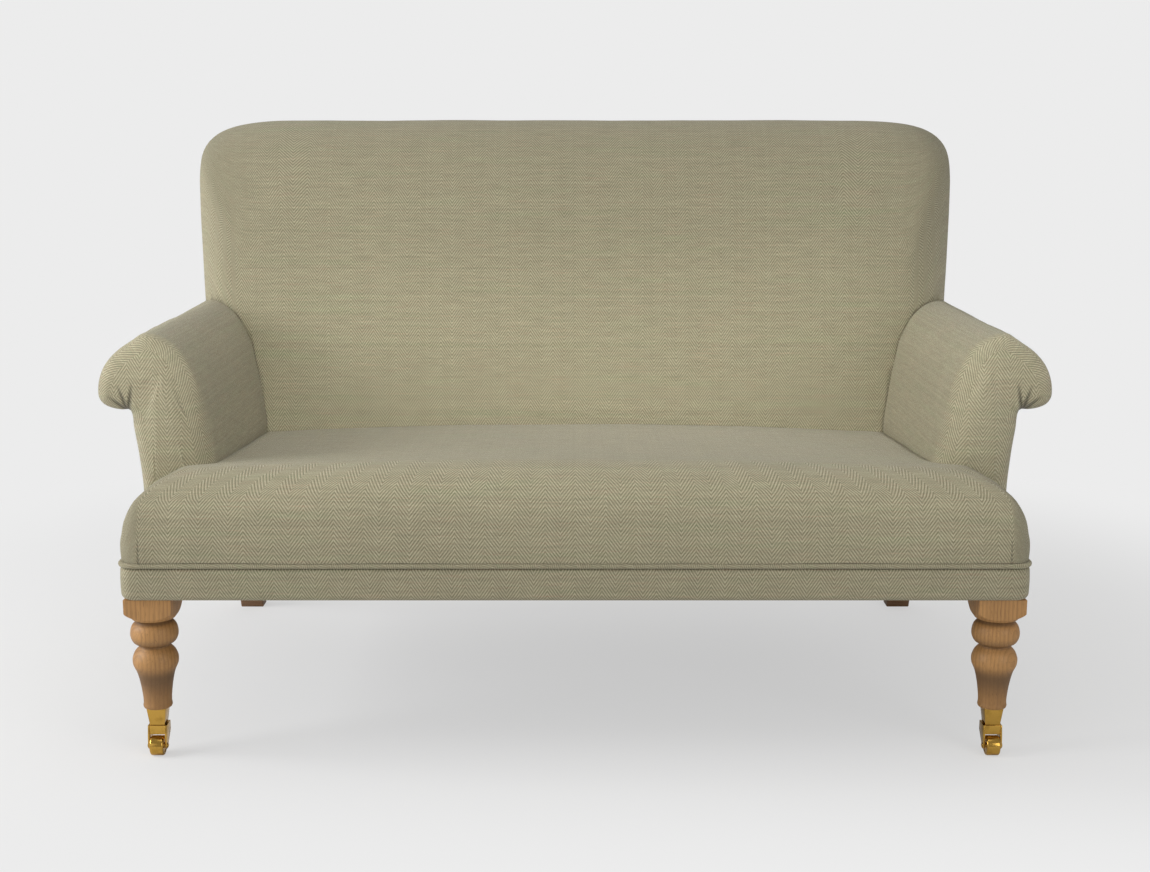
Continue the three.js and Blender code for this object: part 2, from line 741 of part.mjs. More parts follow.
function addCovers() {
  addPart('seat_border_band', roundTheBox(borderSection()), cloth);
  addPart('seat_welt', roundTheBox(weltSection()), cloth);
  addPart('outside_back_panel', outsideBack(), cloth);
}

// Seat springs, webbing and dust cover

/** A sheet under the rails, notched round the four legs. */
function underSheet(top, thickness) {
  const frontX = legX - legBlock * halfShare - gap;
  const frontY = legBlock * halfShare + gap;
  const rearX = backLegInnerX - gap;
  const rearY = postFrontY(railBottom) - gap;
  const right = [
    flat(frontX, sheetInset - boxFront), flat(frontX, frontY),
    flat(boxHalfWidth - sheetInset, frontY), flat(boxHalfWidth - sheetInset, rearY - sheetInset),
    flat(rearX, rearY - sheetInset), flat(rearX, rearY + gap)];
  const outline = [...right, ...right.map((point) => flat(-point.x, point.y)).reverse()];
  const place = (point, station) => at(point.x, point.y, station === 0 ? top - thickness : top);
  return loft([outline, outline], place);
}

const webTop = railBottom - gap;
const dustCoverTop = webTop - seatWebThickness - gap;

/** An hourglass coil spring of one round wire, standing on the webbing. */
function coilSpring(x, y) {
  const low = webTop + gap + springWire;
  const rise = springRecessTop - gap - springWire - low;
  const steps = springTurns * stepsPerTurn;
  const section = Array.from({ length: wireSides }, (unused, side) => {
    const angle = (side / wireSides) * Math.PI * 2;
    return flat(springWire * Math.cos(angle), springWire * Math.sin(angle));
  });
  const stations = Array.from({ length: steps + 1 }, () => section);
  return loft(stations, (point, station) => {
    const along = station / steps;
    const angle = along * springTurns * Math.PI * 2;
    const middle = Math.sin(along * Math.PI);
    const radius = springRadius - (springRadius - springWaist) * middle + point.x;
    return at(x + radius * Math.cos(angle), y + radius * Math.sin(angle), low + along * rise + point.y);
  });
}

function addSpringing() {
  springRows.forEach((y, row) => springColumns.forEach((x, column) => {
    addPart(`seat_spring_${row + 1}${column + 1}`, coilSpring(x, y), steel);
  }));
  addPart('seat_webbing', underSheet(webTop, seatWebThickness), jute);
  addPart('dust_cover', underSheet(dustCoverTop, dustCoverThickness), lining);
}

// Front legs

// The turning from the neck down: share of the block's half width, share of the height to the foot
const turningShares = [
  [0.7, 1], [0.77, 0.978], [0.93, 0.93], [1.005, 0.858], [0.985, 0.8], [0.88, 0.747], [0.7, 0.718],
  [0.64, 0.706], [0.67, 0.69], [0.85, 0.637], [0.95, 0.575], [0.965, 0.54], [0.94, 0.49], [0.8, 0.405],
  [0.68, 0.27], [0.61, 0.135], [0.595, 0.06], [0.615, 0.02], [0.59, 0],
];

/** A block whose lower corners are turned away, over a turned stem; a dowel above, a spigot below. */
function frontLeg() {
  const half = legBlock * halfShare;
  const top = boxBottom - gap;
  const reach = legBlock;
  const stem = turningShares.map(([wide, up]) => flat(wide * half, legFoot + up * (legNeck - legFoot)));
  const diagonal = half * Math.SQRT2;
  const shoulder = turned([
    flat(0, top), flat(reach, top), flat(reach, legBlockCorner + (reach - diagonal) * halfShare),
    flat(diagonal, legBlockCorner), flat(half, legBlockDip), flat(stem[0].x, legNeck),
    flat(0, legNeck)].reverse());
  const square = block(at(-half, -half, legNeck - reach), at(half, half, top));
  const below = turned([
    flat(0, legNeck + legWeld), flat(stem[0].x, legNeck + legWeld), ...stem, flat(0, legFoot)].reverse());
  const dowel = turned([flat(0, top - legWeld), flat(legDowelRadius, top - legWeld),
    flat(legDowelRadius, top + legDowelHeight), flat(0, top + legDowelHeight)]);
  const inCup = cupTaper(legFoot + legWeld, cupBottom + cupFloor + gap + pinHeadHeight + gap, cupWall + gap);
  const leg = joined([solid(shoulder).intersect(solid(square)), solid(below), solid(dowel), solid(inCup)]);
  return surface(leg).translate(legX, 0, 0);
}

/** The tapered square of the castor cup between two heights, drawn in all round. */
function cupTaper(high, low, inward) {
  const size = (z) => THREE.MathUtils.mapLinear(z, cupBottom, legFoot, cupBottomSize, cupTopSize);
  const half = (z) => size(z) * halfShare - inward;
  const outline = (size) => [flat(size, size), flat(-size, size), flat(-size, -size), flat(size, -size)];
  const heights = [low, high];
  const place = (point, station) => at(point.x, point.y, heights[station]);
  return loft(heights.map((z) => outline(half(z))), place);
}

// Castors

const rimGap = legFoot - gap;
const crownTop = cupBottom - gap;

const castorCup = () => surface(cut(solid(cupTaper(rimGap, cupBottom, 0)), [
  solid(cupTaper(legFoot + cutOverrun * halfShare, cupBottom + cupFloor, cupWall)),
  solid(upright(pinRadius + gap, cupBottom - cupFloor, cupBottom + cupFloor + cupFloor)),
])).translate(legX, 0, 0);

/** A round bar along Z. */
const upright = (radius, low, high, sides = smallSides) => turned([
  flat(0, low), flat(radius, low), flat(radius, high), flat(0, high)], sides);

/** A round bar across the castor, on the wheel's axis. */
const crossBar = (profile, sides = smallSides) => turned(profile, sides)
  .rotateY(Math.PI / 2).translate(0, wheelCentreY, wheelCentreZ);

/** The swivel pin, riveted over a head inside the cup. */
function swivelPin() {
  const low = crownTop - yokeCrown;
  const head = cupBottom + cupFloor + gap;
  const high = cupBottom + cupFloor + pinHeadHeight;
  return turned([
    flat(0, low), flat(pinRadius, low), flat(pinRadius, head), flat(pinHeadRadius, head),
    flat(pinHeadRadius, high), flat(0, high)], smallSides).translate(legX, 0, 0);
}

/** One side plate of the yoke seen from the side, from the crown down to the round boss at the axle. */
function yokePlateOutline() {
  const boss = Array.from({ length: stepsPerTurn + 1 }, (unused, step) => {
    const angle = Math.PI - (step / stepsPerTurn) * -Math.PI;
    return flat(wheelCentreY + yokeBoss * Math.cos(angle), wheelCentreZ + yokeBoss * Math.sin(angle));
  });
  const low = crownTop - yokeCrown;
  return [flat(yokeReach, low), flat(yokeReach, crownTop), flat(-yokeReach, crownTop),
    flat(-yokeReach - yokeBoss * halfShare, low), ...boss];
}

function yoke() {
  const inner = yokeHalfWidth - yokePlate;
  const plates = [[inner, yokeHalfWidth], [-yokeHalfWidth, -inner]].map(([from, to]) => (
    solid(sidePlate(yokePlateOutline(), from, to))));
  const crown = block(
    at(-yokeHalfWidth, -yokeReach, crownTop - yokeCrown), at(yokeHalfWidth, yokeReach, crownTop));
  const axleHole = crossBar([
    flat(0, -cutOverrun), flat(axleRadius + gap, -cutOverrun),
    flat(axleRadius + gap, cutOverrun), flat(0, cutOverrun)]);
  const pinHole = upright(pinRadius + gap, crownTop - yokeCrown - yokeCrown, crownTop + yokeCrown);
  const fork = cut(joined([...plates, solid(crown)]), [solid(axleHole), solid(pinHole)]);
  return surface(fork).translate(legX, 0, 0);
}

/** The axle, headed at both ends outside the yoke. */
function axle() {
  const face = yokeHalfWidth + gap;
  const end = face + axleHeadHeight;
  return crossBar([flat(0, -end), flat(axleHeadRadius * halfShare, -end), flat(axleHeadRadius, -face),
    flat(axleRadius, -face), flat(axleRadius, face), flat(axleHeadRadius, face),
    flat(axleHeadRadius * halfShare, end), flat(0, end)]).translate(legX, 0, 0);
}

/** A barrel wheel with a round edge on each side and a bore for the axle. */
function wheel() {
  const half = wheelWidth * halfShare;
  const edge = Array.from({ length: edgeSteps + 1 }, (unused, step) => {
    const angle = (step / edgeSteps) * Math.PI * halfShare;
    return flat(
      wheelRadius - wheelEdge + wheelEdge * Math.sin(angle), half - wheelEdge + wheelEdge * Math.cos(angle));
  });
  const tread = [...edge.map((point) => flat(point.x, -point.y)), ...edge.reverse()];
  const bore = axleRadius + gap;
  const section = [flat(bore, -half), ...tread, flat(bore, half), flat(bore, -half)];
  return crossBar(section, roundSides).translate(legX, 0, 0);
}

function addFrontLegs() {
  addPair('front_leg', frontLeg(), wood);
  addPair('castor_cup', castorCup(), brass);
  addPair('castor_swivel_pin', swivelPin(), brass);
  addPair('castor_yoke', yoke(), brass);
  addPair('castor_axle', axle(), brass);
  addPair('castor_wheel', wheel(), brass);
}

addSeatFrame();
addBackFrame();
addArmFrames();
addSpringing();
addPadding();
addCovers();
addFrontLegs();

// The origin is on the floor, in the middle of the settee's width and depth.
const bounds = new THREE.Box3().setFromObject(settee);
settee.position.y = -bounds.getCenter(new THREE.Vector3()).y;
settee.updateMatrixWorld(true);

export default settee;
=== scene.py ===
"""The looks of an upholstered high back settee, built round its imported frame.

Metres, in the frame's own axes: X across the settee, Y towards its back, Z up.
Heights start at the floor, and depths are written from the axis of the front legs.
"""
import logging
import math
from dataclasses import dataclass
from enum import Enum
from functools import reduce
from typing import Callable, Iterable, Mapping, Optional, Sequence, Union

import bmesh
import bpy
import numpy as np
from bpy.types import Material, Mesh, Node, NodeSocket, NodeTree, Object
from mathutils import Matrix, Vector, noise


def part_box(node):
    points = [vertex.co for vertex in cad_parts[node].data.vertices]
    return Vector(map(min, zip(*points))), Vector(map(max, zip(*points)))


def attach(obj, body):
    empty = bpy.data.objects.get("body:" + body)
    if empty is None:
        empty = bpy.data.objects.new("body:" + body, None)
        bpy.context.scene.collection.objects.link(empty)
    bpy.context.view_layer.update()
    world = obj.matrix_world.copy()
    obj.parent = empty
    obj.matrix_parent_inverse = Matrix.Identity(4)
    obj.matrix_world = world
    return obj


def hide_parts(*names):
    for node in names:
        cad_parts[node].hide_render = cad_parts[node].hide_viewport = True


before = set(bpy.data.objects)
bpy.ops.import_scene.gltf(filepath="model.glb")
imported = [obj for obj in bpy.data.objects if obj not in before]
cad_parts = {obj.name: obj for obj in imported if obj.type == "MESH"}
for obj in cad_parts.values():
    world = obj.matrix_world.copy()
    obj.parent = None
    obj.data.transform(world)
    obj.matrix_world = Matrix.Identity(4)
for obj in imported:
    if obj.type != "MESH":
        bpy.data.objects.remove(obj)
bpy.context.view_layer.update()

log = logging.getLogger("settee")

LEG_AXIS_Y = -0.3885
"""Where the axis of the front legs is along Y in the frame."""

GAP = 0.0003
"""The clearance between neighbours."""

FAR = 2.0
"""A distance past every piece, for blocks that cut."""

BELOW = -1.0
"""A height under every piece, for blocks that cut."""

TUCK = (0.7164, 0.5342)
"""Where the tucks under an arm's roll meet: distance from the middle and height."""

UV_NAME = "weave"
"""The UV map that holds a cover's place in its cloth, in metres."""

Colour = tuple[float, float, float, float]
Setting = Union[str, bool, int, float, tuple, list]


def colour(code: str) -> Colour:
    """A linear colour from six hexadecimal digits.

    Args:
        code: Red, green and blue as seen on a screen.

    Returns:
        Linear red, green and blue, and an alpha of 1.
    """
    parts = [int(code[i:i + 2], 16) / 255 for i in (0, 2, 4)]
    linear = [p / 12.92 if p <= 0.04045 else ((p + 0.055) / 1.055) ** 2.4 for p in parts]
    return (linear[0], linear[1], linear[2], 1.0)


class Board:
    """A node tree that is wired by one method."""

    def __init__(self, tree: NodeTree) -> None:
        """Starts from an empty tree."""
        self.tree = tree
        tree.nodes.clear()

    def node(self, kind: str, settings: Optional[Mapping[str, Setting]] = None,
             inputs: Optional[Mapping[Union[int, str], object]] = None) -> Node:
        """Adds a node of any type.

        Args:
            kind: The node's type.
            settings: Its own properties, set first.
            inputs: Values, sockets or wrapped numbers, by the socket's index or name.

        Returns:
            The node.
        """
        made = self.tree.nodes.new(kind)
        for key, value in (settings or {}).items():
            setattr(made, key, value)
        for key, value in (inputs or {}).items():
            source = value.socket if isinstance(value, Value) else value
            if isinstance(source, NodeSocket):
                self.tree.links.new(source, made.inputs[key])
            else:
                made.inputs[key].default_value = source
        return made


def operation(kind: str, turned: bool = False) -> Callable[..., "Value"]:
    """A method that adds one Math node.

    Args:
        kind: The node's operation.
        turned: Whether the number comes after what the method is given, and not before it.

    Returns:
        The method, which gives the node's result.
    """
    def method(value: "Value", *others: "Number") -> "Value":
        """The node's result, on the number's own board."""
        terms = [*others, value] if turned else [value, *others]
        made = value.board.node("ShaderNodeMath", {"operation": kind}, dict(enumerate(terms)))
        return Value(value.board, made.outputs[0])

    return method


class Value:
    """A number that varies over a surface, worked on with Python's own operators."""

    def __init__(self, board: Board, socket: NodeSocket) -> None:
        """Keeps the socket and the board that it is on."""
        self.board = board
        self.socket = socket

    __add__ = __radd__ = operation("ADD")
    __mul__ = __rmul__ = operation("MULTIPLY")
    __sub__ = operation("SUBTRACT")
    __rsub__ = operation("SUBTRACT", turned=True)
    __truediv__ = operation("DIVIDE")
    __pow__ = operation("POWER")
    __mod__ = operation("FLOORED_MODULO")
    __lt__ = operation("LESS_THAN")
    floor = operation("FLOOR")
    fraction = operation("FRACT")
    size = operation("ABSOLUTE")
    sine = operation("SINE")
    root = operation("SQRT")
    least = operation("MINIMUM")
    most = operation("MAXIMUM")

    def step(self, low: float, high: float) -> "Value":
        """A smooth rise from 0 at one value to 1 at another."""
        made = self.board.node("ShaderNodeMapRange", {"interpolation_type": "SMOOTHSTEP"},
                               {0: self, 1: low, 2: high, 3: 0.0, 4: 1.0})
        return Value(self.board, made.outputs[0])


Number = Union[Value, float, int]


class Finish(Board):
    """The node tree of one material, with the sources that several finishes share."""

    def __init__(self, name: str) -> None:
        """Starts a material of that name."""
        self.material = bpy.data.materials.new(name)
        self.material.use_nodes = True
        super().__init__(self.material.node_tree)

    def place(self) -> tuple[Value, Value, Value]:
        """The point on the piece, in metres."""
        return self.split(self.node("ShaderNodeTexCoord").outputs["Object"])

    def split(self, socket: NodeSocket) -> tuple[Value, Value, Value]:
        """The three numbers of a vector."""
        x, y, z = self.node("ShaderNodeSeparateXYZ", inputs={0: socket}).outputs
        return Value(self, x), Value(self, y), Value(self, z)

    def vector(self, x: Number, y: Number, z: Number = 0.0) -> NodeSocket:
        """A vector of three numbers."""
        return self.node("ShaderNodeCombineXYZ", inputs={0: x, 1: y, 2: z}).outputs[0]

    def cloth_place(self) -> tuple[Value, Value]:
        """The place in the cloth, across its columns and along them."""
        across, along, _ = self.split(self.node("ShaderNodeUVMap", {"uv_map": UV_NAME}).outputs[0])
        return across, along

    def noise(self, place: Sequence[Value], often: Sequence[float] = (), detail: float = 2.0,
              scale: float = 1.0, roughness: float = 0.5) -> Value:
        """Smooth noise between 0 and 1, most of it near the middle.

        Args:
            place: The numbers of a point.
            often: How often it varies in a metre along each of them.
            detail: How many finer layers it has.
            scale: How often it varies along all of them, on top of that.
            roughness: How strong the finer layers are.

        Returns:
            The noise.
        """
        numbers = [number * times for number, times in zip(place, often)] if often else place
        made = self.node("ShaderNodeTexNoise", inputs={
            "Vector": self.vector(*numbers), "Scale": scale, "Detail": detail, "Roughness": roughness})
        return Value(self, made.outputs[0])

    def lot(self, number: Number) -> Value:
        """A number between 0 and 1 that is drawn anew for each whole number."""
        made = self.node("ShaderNodeTexWhiteNoise", {"noise_dimensions": "1D"}, {"W": number})
        return Value(self, made.outputs["Value"])

    def blend(self, share: Number, start: object, end: object, way: str = "MIX") -> NodeSocket:
        """Two colours mixed by a share."""
        settings = {"data_type": "RGBA", "blend_type": way}
        return self.node("ShaderNodeMix", settings, {0: share, 6: start, 7: end}).outputs[2]

    def dress(self, paint: NodeSocket, roughness: Value, height: Value, depth: float,
              strength: float, constants: Mapping[str, object]) -> Material:
        """Wires the surface.

        Args:
            paint: Its colour.
            roughness: Its roughness.
            height: Its relief, from 0 to 1.
            depth: How deep that relief is, in metres.
            strength: How much of the relief shows.
            constants: Numbers and colours that are the same all over, by the socket's name.

        Returns:
            The finished material.
        """
        relief = {"Strength": strength, "Distance": depth, "Height": height}
        bump = self.node("ShaderNodeBump", inputs=relief)
        shader = self.node("ShaderNodeBsdfPrincipled", inputs={
            "Base Color": paint, "Roughness": roughness, "Normal": bump.outputs[0], **constants})
        self.node("ShaderNodeOutputMaterial", inputs={0: shader.outputs[0]})
        return self.material


@dataclass(frozen=True)
class Crease:
    """A crease in a cover seen from the front, from its deep end to where it runs out.

    It is on both halves of the settee, so across is measured from the middle. It is only where Y is
    less than its own limit, on what faces the front. Its share says how strong it is at its deep end.
    """

    start: tuple[float, float]
    end: tuple[float, float]
    width: float
    rearmost: float
    share: float = 1.0
    narrowing: float = 0.55

    def depth(self, x: Value, y: Value, z: Value) -> Value:
        """How deep the crease is at a point.

        Args:
            x: Distance across.
            y: Depth.
            z: Height.

        Returns:
            From 0, beside the crease, to its share.
        """
        run_x, run_z = self.end[0] - self.start[0], self.end[1] - self.start[1]
        away_x, away_z = x.size() - self.start[0], z - self.start[1]
        along = ((away_x * run_x + away_z * run_z) / (run_x**2 + run_z**2)).most(0.0).least(1.0)
        gap = ((away_x - along * run_x) ** 2 + (away_z - along * run_z) ** 2).root()
        wide = self.width * (1.0 - along * self.narrowing)
        return (1.0 - gap / wide).most(0.0) * (1.0 - along**3.0) * (y < self.rearmost) * self.share


@dataclass(frozen=True)
class HerringboneCloth:
    """A two and two twill that turns back at every column, in two shades of thread.

    The bare numbers mix the parts of a shade or of the relief, which run from 0 to 1.
    """

    name: str = "herringbone_cloth"
    warp: Colour = colour("BAB398")
    weft: Colour = colour("847E64")
    rosy: Colour = colour("9A7F68")
    green: Colour = colour("78835F")
    warp_pitch: float = 0.00117
    weft_pitch: float = 0.00176
    column_threads: int = 18
    relief_depth: float = 0.0016
    # The creases are sunk in the relief and also darkened as painted shade.
    creases: tuple[Crease, ...] = ()

    def material(self) -> Material:
        """The cloth as a material.

        Returns:
            The material, which reads a piece's own place in its cloth.
        """
        board = Finish(self.name)
        cloth = across, along = board.cloth_place()
        x, y, z = board.place()
        waver = board.noise(cloth, (9.0, 9.0)) - 0.5
        column, row = across / self.warp_pitch, along / self.weft_pitch + waver * 0.9
        end, pick = column.floor(), row.floor()
        turn = 1.0 - ((end / float(self.column_threads)).floor() % 2.0) * 2.0
        stage = (end * turn + pick) % 4.0
        raised = stage < 1.5
        part_x, part_y = column.fraction(), row.fraction()
        run_x = turn * (part_x - 0.5) + 0.5
        up = (part_x * math.pi).sine() * self._arch((stage + part_y) * 0.5)
        side = (part_y * math.pi).sine() * self._arch((stage - 2.0 + run_x) * 0.5)
        relief = up * raised + side * (1.0 - raised)
        fibre = board.noise(cloth, (2300.0, 2300.0), 1.0)
        crease = reduce(Value.most, [crease.depth(x, y, z) for crease in self.creases])
        slub = board.noise(cloth, (14.0, 480.0), 1.0)
        band = board.noise(cloth, (3.2, 52.0))
        streak = board.noise(cloth, (24.0, 230.0)) - 0.5
        worn = board.noise(cloth, (160.0, 110.0), 1.0).step(0.42, 0.72)
        weft = board.blend((slub - 0.52).most(0.0) * 3.0, self.weft, self.rosy)
        weft = board.blend((0.46 - band).most(0.0) * 2.6, weft, self.green)
        ground = raised * (board.lot(end) * 0.2 + 0.8) * (1.0 - worn * 0.55)
        shade = board.blend(ground + worn * 0.22, weft, self.warp)
        wide = board.noise(cloth, (3.0, 3.0))
        light = (wide * 0.10 + 0.95) * (board.lot(pick + 311.0) * 0.10 + 0.96) * (relief * 0.23 + 0.845)
        # Painted shade: the cloth is darkened along the tucks and darts, for the shade in them; the streaks
        # are the cloth's own uneven tone.
        light = light * (streak * 0.42 + 1.0) * (1.0 - crease * 0.75)
        paint = board.blend(1.0, shade, board.vector(light, light, light), "MULTIPLY")
        height = relief * 0.28 + fibre * 0.12 - crease * 2.6
        rough = fibre * 0.12 + 0.84
        return board.dress(paint, rough, height, self.relief_depth, strength=0.75, constants={
            "Specular IOR Level": 0.22, "Sheen Weight": 0.16, "Sheen Roughness": 0.45})

    @staticmethod
    def _arch(way: Value) -> Value:
        """The height of a thread that floats over two others, by how far along the float it is."""
        return (way * (1.0 - way)).most(0.0) * 4.0 * 0.55 + 0.45


@dataclass(frozen=True)
class GrainedWood:
    """Wood whose grain runs along Z, under oil or varnish.

    Each band of painted shade round the turning, under the block or under a bead, is given by three
    heights: where it starts, where it is darkest and where it ends.
    """

    name: str
    pale: Colour
    dark: Colour
    # The pore colour, which is also the colour of the painted shade under the block and the beads.
    pore_and_shade: Colour
    ring: float = 0.0042
    contrast: float = 0.28
    pith: tuple[float, float] = (0.71, -0.44)
    gloss: float = 0.36
    coat: float = 0.0
    # Painted shade: the wood is darkened below a height, fading in over a short rise, for the shade on the
    # lower stem.
    painted_shade_below: float = 0.0
    painted_shade_fade: float = 0.03
    # Painted shade: bands darkened under the block and the beads.
    painted_groove_shade: tuple[tuple[float, float, float], ...] = ()
    relief_depth: float = 0.0003

    def material(self) -> Material:
        """The wood as a material.

        Returns:
            The material, which reads a piece's own place in the settee.
        """
        board = Finish(self.name)
        place = x, y, z = board.place()
        bend = board.noise(place, (6.0, 6.0, 1.6), 3.0) - 0.5
        near_x, near_y = x.size() - self.pith[0], y - self.pith[1]
        away = (near_x**2 + near_y**2).root() + bend * 0.036
        ring = (away / self.ring).fraction()
        late = ring.step(0.35, 0.95) * (1.0 - ring.step(0.95, 1.0))
        streak = board.noise(place, (420.0, 420.0, 11.0))
        pores = board.noise(place, (1500.0, 1500.0, 60.0), 1.0).step(0.60, 0.72)
        pores = pores * (1.0 - late * 0.7)
        cloudy = board.noise(place, (14.0, 14.0, 4.0))
        worn = board.noise(place, (40.0, 40.0, 40.0), 3.0)
        share = (late * self.contrast + streak * 0.5 + (cloudy - 0.5) * 0.8).most(0.0).least(1.0)
        paint = board.blend(share, self.pale, self.dark)
        paint = board.blend(pores * 0.6, paint, self.pore_and_shade)
        # Painted shade: the lower stem is darkened, for the shade on its downward-facing turnings.
        if self.painted_shade_below:
            painted_shade = (1.0 - z.step(self.painted_shade_below - self.painted_shade_fade, self.painted_shade_below)) * 0.5
            paint = board.blend(painted_shade, paint, self.dark)
        # Painted shade: each band darkens the wood to the pore colour, darkest at a groove, fading a little
        # below it and further up the bead above.
        for low, deep, high in self.painted_groove_shade:
            paint = board.blend((1.0 - z.step(deep, high)) * z.step(low, deep) * 0.62, paint, self.pore_and_shade)
        rough = self.gloss + worn * 0.12 + pores * 0.12
        height = streak * 0.25 - pores * 0.8 + worn * 0.1
        return board.dress(paint, rough, height, self.relief_depth, strength=0.5, constants={
            "Specular IOR Level": 0.5, "Coat Weight": self.coat, "Coat Roughness": 0.22})


@dataclass(frozen=True)
class PolishedBrass:
    """Cast brass, polished and a little dulled by handling."""

    name: str = "polished_brass"
    bright: Colour = colour("C99F4C")
    dull: Colour = colour("A98339")
    relief_depth: float = 0.0002

    def material(self) -> Material:
        """The brass as a material.

        Returns:
            The material, which reads a piece's own place in the settee.
        """
        board = Finish(self.name)
        place = board.place()
        cloud = board.noise(place, detail=4.0, scale=55.0, roughness=0.6)
        fine = board.noise(place, (900.0, 900.0, 160.0))
        tarnish = cloud.step(0.46, 0.72)
        paint = board.blend(tarnish * 0.75, self.bright, self.dull)
        rough = tarnish * 0.12 + fine * 0.08 + 0.12
        height = fine * 0.6 + cloud * 0.4
        return board.dress(paint, rough, height, self.relief_depth, strength=0.35,
                           constants={"Metallic": 1.0})


@dataclass(frozen=True)
class DrawnWire:
    """Hard drawn spring wire with a thin film of oil."""

    name: str = "drawn_wire"
    bright: Colour = colour("A9ABAF")
    dull: Colour = colour("5C5D60")
    relief_depth: float = 0.0001

    def material(self) -> Material:
        """The wire as a material.

        Returns:
            The material, which reads a piece's own place in the settee.
        """
        board = Finish(self.name)
        place = board.place()
        cloud = board.noise(place, detail=3.0, scale=70.0)
        fine = board.noise(place, detail=1.0, scale=900.0)
        paint = board.blend(cloud, self.bright, self.dull)
        rough = fine * 0.2 + 0.28
        return board.dress(paint, rough, fine, self.relief_depth, strength=0.3, constants={"Metallic": 1.0})


@dataclass(frozen=True)
class PlainWeave:
    """A plain one over one weave, coarse for webbing and fine for lining cloth.

    A stripe is a line near each edge of a strap, as far from its middle as the number says.
    """

    name: str
    thread: float
    pale: Colour
    dark: Colour
    stripe: float = 0.0
    stripe_colour: Colour = colour("7A2F24")

    def material(self) -> Material:
        """The weave as a material.

        Returns:
            The material, which reads a piece's own place in its cloth.
        """
        board = Finish(self.name)
        cloth = across, along = board.cloth_place()
        column, row = across / self.thread, along / self.thread
        over = (column.floor() + row.floor()) % 2.0
        up = (column.fraction() * math.pi).sine()
        side = (row.fraction() * math.pi).sine()
        relief = up * over + side * (1.0 - over)
        slub = board.noise(cloth, (400.0, 400.0))
        paint = board.blend((relief * 0.6 + slub * 0.5).least(1.0), self.dark, self.pale)
        if self.stripe:
            away = (across.size() - self.stripe).size()
            paint = board.blend((away < self.stripe * 0.12) * 0.8, paint, self.stripe_colour)
        rough, height = slub * 0.1 + 0.84, relief * 0.8 + slub * 0.2
        return board.dress(paint, rough, height, self.thread * 0.4, strength=0.6,
                           constants={"Specular IOR Level": 0.2})


class Finishes:
    """Every finish of the settee, made once."""

    def __init__(self, creases: tuple[Crease, ...]) -> None:
        """Makes the materials.

        Args:
            creases: The creases in the main cover.
        """
        self.cloth = HerringboneCloth(creases=creases).material()
        self.oak = GrainedWood(
            "varnished_oak", colour("C08F55"), colour("7C5830"), colour("483420"), ring=0.0061, gloss=0.5,
            # Painted shade: the oak is darkened below this height.
            coat=0.03, painted_shade_below=0.158,
            # Painted shade: dark bands under the block and the two beads.
            painted_groove_shade=((0.2150, 0.2205, 0.2280), (0.1765, 0.1810, 0.2010), (0.0850, 0.1300, 0.1520))).material()
        self.dark_wood = GrainedWood("stained_hardwood", colour("8A6745"), colour("5C4029"), colour("33210F"),
                                     ring=0.003, gloss=0.38, coat=0.1).material()
        self.beech = GrainedWood("sawn_beech", colour("D6BC93"), colour("B3936A"), colour("8A6C49"),
                                 ring=0.0035, gloss=0.7).material()
        self.brass = PolishedBrass().material()
        self.steel = DrawnWire().material()
        self.jute = PlainWeave("jute_webbing", thread=0.0022, pale=colour("B79B6C"), dark=colour("7C6540"),
                               stripe=0.021).material()
        self.lining = PlainWeave("black_lining", thread=0.0007, pale=colour("353434"),
                                 dark=colour("141414")).material()


class Slot(Enum):
    """Names of material slots for the kinds of finish; no piece here takes its finish from them."""

    COVER = "cover_cloth"
    LEG = "leg_oak"
    BACK_LEG = "back_leg_wood"
    CASTOR = "castor_brass"
    SPRING = "spring_steel"
    WEBBING = "webbing"
    LINING = "dust_cover_cloth"


class Side(Enum):
    """A half of the settee, by the sign of its X."""

    LEFT = -1
    RIGHT = 1

    @property
    def word(self) -> str:
        """The side's name in the names of nodes and bodies."""
        return self.name.lower()


Points = np.ndarray
"""Rows of X and Y, or of X, Y and Z."""


def curve_through(points: Points, closed: bool, fineness: int = 24) -> Points:
    """A smooth curve through points.

    Args:
        points: What it goes through.
        closed: Whether it comes back to the first.
        fineness: Steps between neighbouring points.

    Returns:
        The curve's own points, without the first again.
    """
    count = len(points)
    spans = count if closed else count - 1
    out = []
    for i in range(spans):
        numbers = range(i - 1, i + 3)
        near = [points[k % count] if closed else points[min(max(k, 0), count - 1)] for k in numbers]
        slope_a, slope_b = slopes(near)
        for t in np.arange(fineness) / fineness:
            out.append((2 * t**3 - 3 * t**2 + 1) * near[1] + (t**3 - 2 * t**2 + t) * slope_a
                       + (3 * t**2 - 2 * t**3) * near[2] + (t**3 - t**2) * slope_b)
    if not closed:
        out.append(points[-1])
    return np.array(out)


def slopes(near: Sequence[Points]) -> tuple[Points, Points]:
    """The slopes of a smooth curve at the two middle ones of four points.

    Args:
        near: The four points.

    Returns:
        Both slopes, drawn to the length of the span between the two.
    """
    lengths = [max(float(np.linalg.norm(near[k + 1] - near[k])), 1e-7) for k in range(3)]
    span = lengths[1]
    first = (near[2] - near[0]) / (lengths[0] + span) * span
    second = (near[3] - near[1]) / (span + lengths[2]) * span
    return first, second


def distances(points: Points) -> Points:
    """How far along a line each of its points lies."""
    steps = np.linalg.norm(np.diff(points, axis=0), axis=1)
    return np.concatenate([[0.0], np.cumsum(steps)])


def even_picks(points: Points, count: int) -> Points:
    """Places in a list of points, as fractions of an index, that are evenly far apart along it."""
    far = distances(points)
    return np.interp(np.linspace(0.0, far[-1], count), far, np.arange(len(points)))


